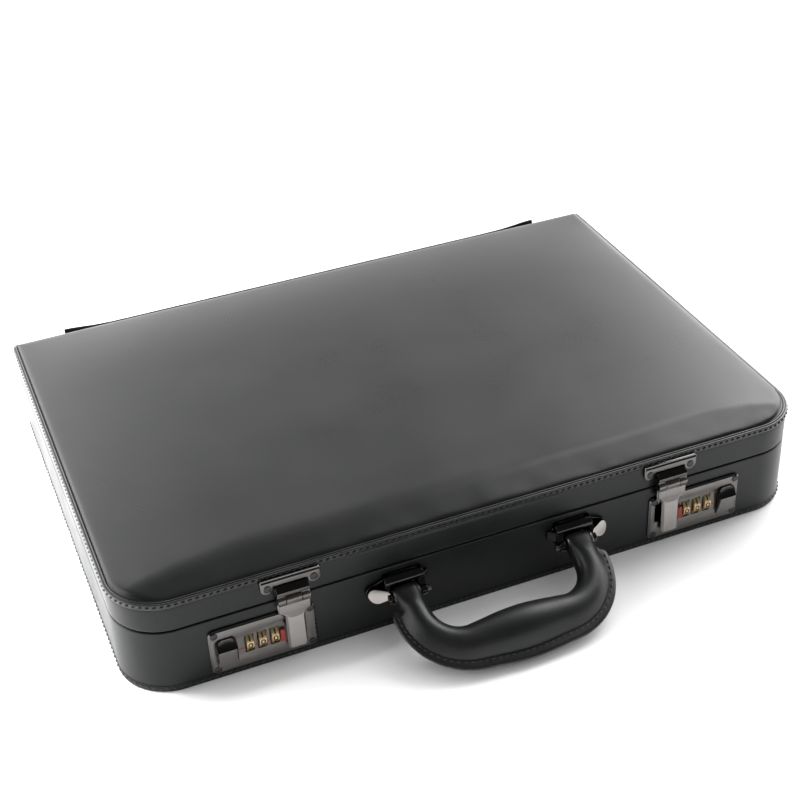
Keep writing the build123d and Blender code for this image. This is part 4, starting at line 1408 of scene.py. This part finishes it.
def handle_welt():
    line = handle_line(7.0, 1.6)
    total = line[-1][4] - line[0][4]
    rings = []
    for x, reach, nx, ny, s in line:
        radius = grip_radius(s) - 1.2
        out = grip_radius(s) + welt_reach(s, total)
        wave = 0.25 * noise.noise(Vector((s / 11, 4.4, 0.3)))
        top = [(radius, WELT_HALF + 0.2), (radius + 2.2, WELT_HALF + 0.1), (out - 2.6, WELT_HALF)]
        top += [(out - 0.9, WELT_HALF * 0.96), (out - 0.3, WELT_HALF * 0.72)]
        top += [(out, WELT_HALF * 0.4), (out - 0.08, 0.16), (out - 0.45, 0.0)]
        section = top + [(a, -b) for a, b in reversed(top[:-1])]
        rings.append(
            [in_handle(x + nx * a, reach + ny * a, b + wave * 0.5) for a, b in section]
        )
    welt = tube("handle_stitched_edge", rings, [EDGE_LEATHER])
    shade_by_angle(welt, 60)
    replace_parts(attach(welt, "handle"), "handle_welt")
    for name, sign in (("handle_stitches_top", 1), ("handle_stitches_under", -1)):
        path, lifts = [], []
        for x, reach, nx, ny, s in line[3:-3]:
            a = grip_radius(s) + 3.0
            path.append(in_handle(x + nx * a, reach + ny * a, sign * (WELT_HALF + 0.02)))
            lifts.append(UPWARD * sign)
        # Handle stitches in the paler thread, whose grey is painted sheen.
        row = stitch_row(name, path, lifts, False, "handle", length=2.5, gap=1.5, radius=0.5,
                         material=THREAD_PAINTED_SHEEN)


def handle_brackets():
    """Boat-shaped plate, rounded hood, two ears for the pin, and a bright sloping facet outside."""
    y_wall = -FRONT_Y
    lobe_x, lobe_z = 73.2, 30.2
    outline = arc(lobe_x, lobe_z, 4.9, -60, 75, 12)
    outline += [(67.5, 37.6), (63.0, 40.1)]
    outline += arc(47.6, 36.4, 4.0, 90, 150, 5)
    outline += [(39.6, 34.0), (38.4, 32.4), (39.6, 30.6)]
    outline += arc(46.6, 28.6, 3.8, 210, 270, 5)
    outline += [(64.0, 24.8), (69.0, 25.4)]
    plate = flat_piece(
        "bracket_plate", [outline], 1.8, 0.7, [BLACK_NICKEL_AND_PAINTED_SHADE], FRONT_PLANE, y_wall, 3
    )
    parts = [plate]
    pin_y, pin_z = PIVOT.y, PIVOT.z
    for x0, x1 in ((43.0, 47.2), (64.8, 67.4)):
        ear = [(FRONT_Y + 0.2, 38.2), (FRONT_Y - 3.6, 37.8), (FRONT_Y - 6.0, 35.6)]
        ear += arc(pin_y, pin_z, 3.3, 80, 230, 10)
        ear += [(FRONT_Y + 0.2, pin_z - 2.2)]
        parts.append(
            flat_piece("bracket_ear", [ear], x1 - x0, 0.7, [BLACK_NICKEL_AND_PAINTED_SHADE], SIDE_PLANE, x0, 4)
        )
    hood = [(FRONT_Y + 0.2, 40.0)]
    for step in range(9):
        angle = math.radians(90 - 105 * step / 8)
        hood.append((FRONT_Y - 1.6 - 4.6 * math.cos(angle), 35.6 + 4.3 * math.sin(angle)))
    hood += [(FRONT_Y - 4.6, 35.0), (FRONT_Y + 0.2, 35.6)]
    parts.append(
        flat_piece("bracket_hood", [hood], 24.0, 0.7, [BLACK_NICKEL_AND_PAINTED_SHADE], SIDE_PLANE, 43.1, 4)
    )
    side_face = [(39.0, FRONT_Y - 1.4), (43.2, FRONT_Y - 5.2), (43.2, FRONT_Y + 0.2)]
    side_face += [(39.0, FRONT_Y + 0.2)]
    parts.append(
        flat_piece("bracket_side", [side_face], 7.0, 0.9, [BLACK_NICKEL_AND_PAINTED_SHADE], LEVEL_PLANE, 28.8, 4)
    )
    stub = [(40.6, 0.3), (40.6, 1.3), (40.75, 1.55), (43.4, 1.6), (43.4, 0.3)]
    parts.append(turned("pin_stub", stub, (0, pin_y, pin_z), [BRIGHT], 28))
    bracket = joined("handle_bracket_piece_right", parts)
    drop = arc(lobe_x, lobe_z, 4.5, -115, 115, 16) + [(66.6, 33.6), (65.6, 32.0), (66.6, 28.2)]
    facet = flat_piece(
        "bracket_facet", [drop], 1.5, 0.45, [BLACK_NICKEL_AND_PAINTED_SHADE, BRIGHT], FRONT_PLANE, y_wall + 1.2, 3
    )
    facet_x, facet_z = 77.5, 34.7
    for vertex in facet.data.vertices:
        if vertex.co.y < FRONT_Y * MM - 1.9 * MM:
            inwards = max(facet_x * MM - vertex.co.x, 0)
            downwards = max(facet_z * MM - vertex.co.z, 0)
            vertex.co.y -= 0.46 * inwards + 0.34 * downwards
    facet.data.update()
    two_tone(facet, Vector((0.42, -0.87, 0.25)).normalized(), 0.93)
    other = mirrored(bracket, "handle_bracket_piece_left")
    for side, piece in (("right", bracket), ("left", other)):
        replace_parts(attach(piece, "base"), f"handle_bracket_{side}")
    facets = joined("bracket_facets", [facet, mirrored(facet, "facet_left")])
    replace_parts(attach(facets, "base"), "bracket_rivets")


# ---- floor, light and camera ---------------------------------------------------------------
def stage_floor():
    size = 30.0  # metres either way
    mesh = bpy.data.meshes.new("floor")
    mesh.from_pydata(
        [(-size, -size, 0), (size, -size, 0), (size, size, 0), (-size, size, 0)], [], [(0, 1, 2, 3)]
    )
    n = Nodes("floor_paper")
    fibre = n.noise(2.0, 2.0)
    n.colour(n.blend(fibre, (0.90, 0.90, 0.905), (0.93, 0.93, 0.93)))
    n.set(Roughness=0.8, Specular_IOR_Level=0.2)
    floor = new_object("stage_floor", mesh, [n.material])
    floor.location.z = -0.0002


WORLD_FILL = 0.12
WORLD_BACK = (-0.25, 0.25)
WORLD_WINGS = 3.0
WORLD_HORIZON = 1.9
LEFT_SPOT = 120.0


def studio_light():
    """World light that is bright behind the case and dim elsewhere, and four lamps."""
    world = bpy.data.worlds.new("studio")
    bpy.context.scene.world = world
    world.use_nodes = True
    tree = world.node_tree
    links = tree.links

    def ramp(source, low, high, out_low, out_high):
        made = tree.nodes.new("ShaderNodeMapRange")
        made.interpolation_type = "SMOOTHSTEP"
        links.new(source, made.inputs["Value"])
        for key, value in (("From Min", low), ("From Max", high), ("To Min", out_low),
                           ("To Max", out_high)):
            made.inputs[key].default_value = value
        return made.outputs["Result"]

    def combine(operation, a, b=0.0):
        made = tree.nodes.new("ShaderNodeMath")
        made.operation = operation
        for index, value in enumerate((a, b)):
            if isinstance(value, (int, float)):
                made.inputs[index].default_value = value
            else:
                links.new(value, made.inputs[index])
        return made.outputs["Value"]

    direction = tree.nodes.new("ShaderNodeTexCoord").outputs["Generated"]
    split = tree.nodes.new("ShaderNodeSeparateXYZ")
    links.new(direction, split.inputs["Vector"])
    x, y, z = (split.outputs[axis] for axis in "XYZ")
    turn = math.radians(20.6)
    side = combine(
        "SUBTRACT",
        combine("MULTIPLY", x, math.cos(turn)),
        combine("MULTIPLY", y, math.sin(turn)),
    )
    off_centre = combine("ABSOLUTE", side)
    back = ramp(y, *WORLD_BACK, 0.0, 1.0)
    sweep = ramp(z, 0.78, 0.60, 0.0, 0.95)
    wings = combine(
        "MULTIPLY", ramp(off_centre, 0.06, 0.36, 0.0, WORLD_WINGS), ramp(z, 0.86, 0.60, 0.0, 1.0)
    )
    horizon = ramp(z, 0.53, 0.40, 0.0, WORLD_HORIZON)
    glow = combine("MULTIPLY", back, combine("ADD", sweep, combine("ADD", wings, horizon)))
    strength = combine("ADD", glow, WORLD_FILL)
    background = tree.nodes["Background"]
    background.inputs["Color"].default_value = (1.0, 1.0, 0.995, 1)
    links.new(strength, background.inputs["Strength"])

    def lamp(name, kind, place, aim, energy, glossy):
        data = bpy.data.lights.new(name, kind)
        data.energy = energy
        made = link(bpy.data.objects.new(name, data))
        made.location = place
        made.rotation_euler = (Vector(aim) - Vector(place)).to_track_quat("-Z", "Y").to_euler()
        made.visible_glossy = glossy
        return data

    box = lamp("right_box", "AREA", (1.15, 0.50, 1.18), (0.05, 0, 0), 22.0, True)
    box.size = 1.1
    key = lamp("key", "SUN", (0.5, 1.2, 2.2), (0, 0, 0), 0.95, False)
    key.angle = math.radians(50)
    fill = lamp("fill", "SUN", (0.7, -1.4, 1.5), (0, 0, 0), 1.05, False)
    fill.angle = math.radians(80)
    beside = lamp("beside", "SPOT", (-0.62, 0.16, 0.9), (-0.40, 0.10, 0), LEFT_SPOT, False)
    beside.spot_size = math.radians(44)
    beside.spot_blend = 1.0
    beside.shadow_soft_size = 0.12


def camera():
    """Camera at the front left, looking down at the case."""
    place = Vector((-285.5, -777.2, 610.9))
    azimuth, tilt, roll = math.radians(20.654), math.radians(34.235), math.radians(2.96)
    ahead = Vector(
        (math.sin(azimuth) * math.cos(tilt), math.cos(azimuth) * math.cos(tilt), -math.sin(tilt))
    )
    side = ahead.cross(Vector((0, 0, 1))).normalized()
    up = side.cross(ahead)
    side, up = (
        side * math.cos(roll) - up * math.sin(roll),
        up * math.cos(roll) + side * math.sin(roll),
    )
    data = bpy.data.cameras.new("camera")
    data.lens = 67.715
    data.sensor_width = 36.0
    data.clip_start = 0.01
    obj = link(bpy.data.objects.new("camera", data))
    obj.matrix_world = Matrix.Translation(place * MM) @ Matrix(
        (side, up, -ahead)
    ).transposed().to_4x4()
    bpy.context.scene.camera = obj


# ---- everything ----------------------------------------------------------------------------
camera()
studio_light()
stage_floor()

base_shell()
lid_shell()
lid_pad()
underside()
hinge_strip()

floor_top = LINING_LOW.z + 1.0
lining_tray("base_lining_cloth", LINING_HIGH.z, floor_top, 1, "base_lining", "base",
            lock_holes(30.0))
LID_LINING_LOW, LID_LINING_HIGH = corners("lid_lining")
roof = LID_LINING_HIGH.z - 1.0
lining_tray("lid_lining_cloth", LID_LINING_LOW.z, roof, -1, "lid_lining", "lid")
document_pocket()
pen_loops()

lock_plates()
dials()
reset_pegs()
thumb_slides()
lock_rivets()
hasps()
keepers()
handle_padding()
handle_welt()
handle_brackets()

for board in ("base_frame", "lid_frame", "base_bottom_board", "lid_top_board"):
    paint(board, BOARD)
paint("handle_core", STEEL)
paint("hinge_pin", STEEL)
for side, _ in SIDES:
    paint(f"dial_axle_{side}", STEEL)
    paint(f"handle_pin_{side}", BRIGHT)
    paint(f"hasp_pin_{side}", DARK_POLISH)
    # Lock boxes in the very dark steel: painted shade inside the lock windows.
    softened_copy(f"lock_box_{side}", f"lock_case_{side}", "base", LOCK_STEEL_PAINTED_SHADE, 0.2)
    for part in ("stay_lower", "stay_upper"):
        body = f"{part}_{side}"
        softened_copy(f"{body}_link", body, body, STEEL, 0.2)
for body in ("base", "lid"):
    softened_copy(f"stay_studs_{body}", f"stay_{body}_pivots", body, STEEL, 0.25)
for body in ("base", "lid"):
    softened_copy(f"piano_leaf_{body}", f"hinge_leaf_{body}", body, STEEL, 0.15)

bpy.context.scene.view_settings.view_transform = "Standard"
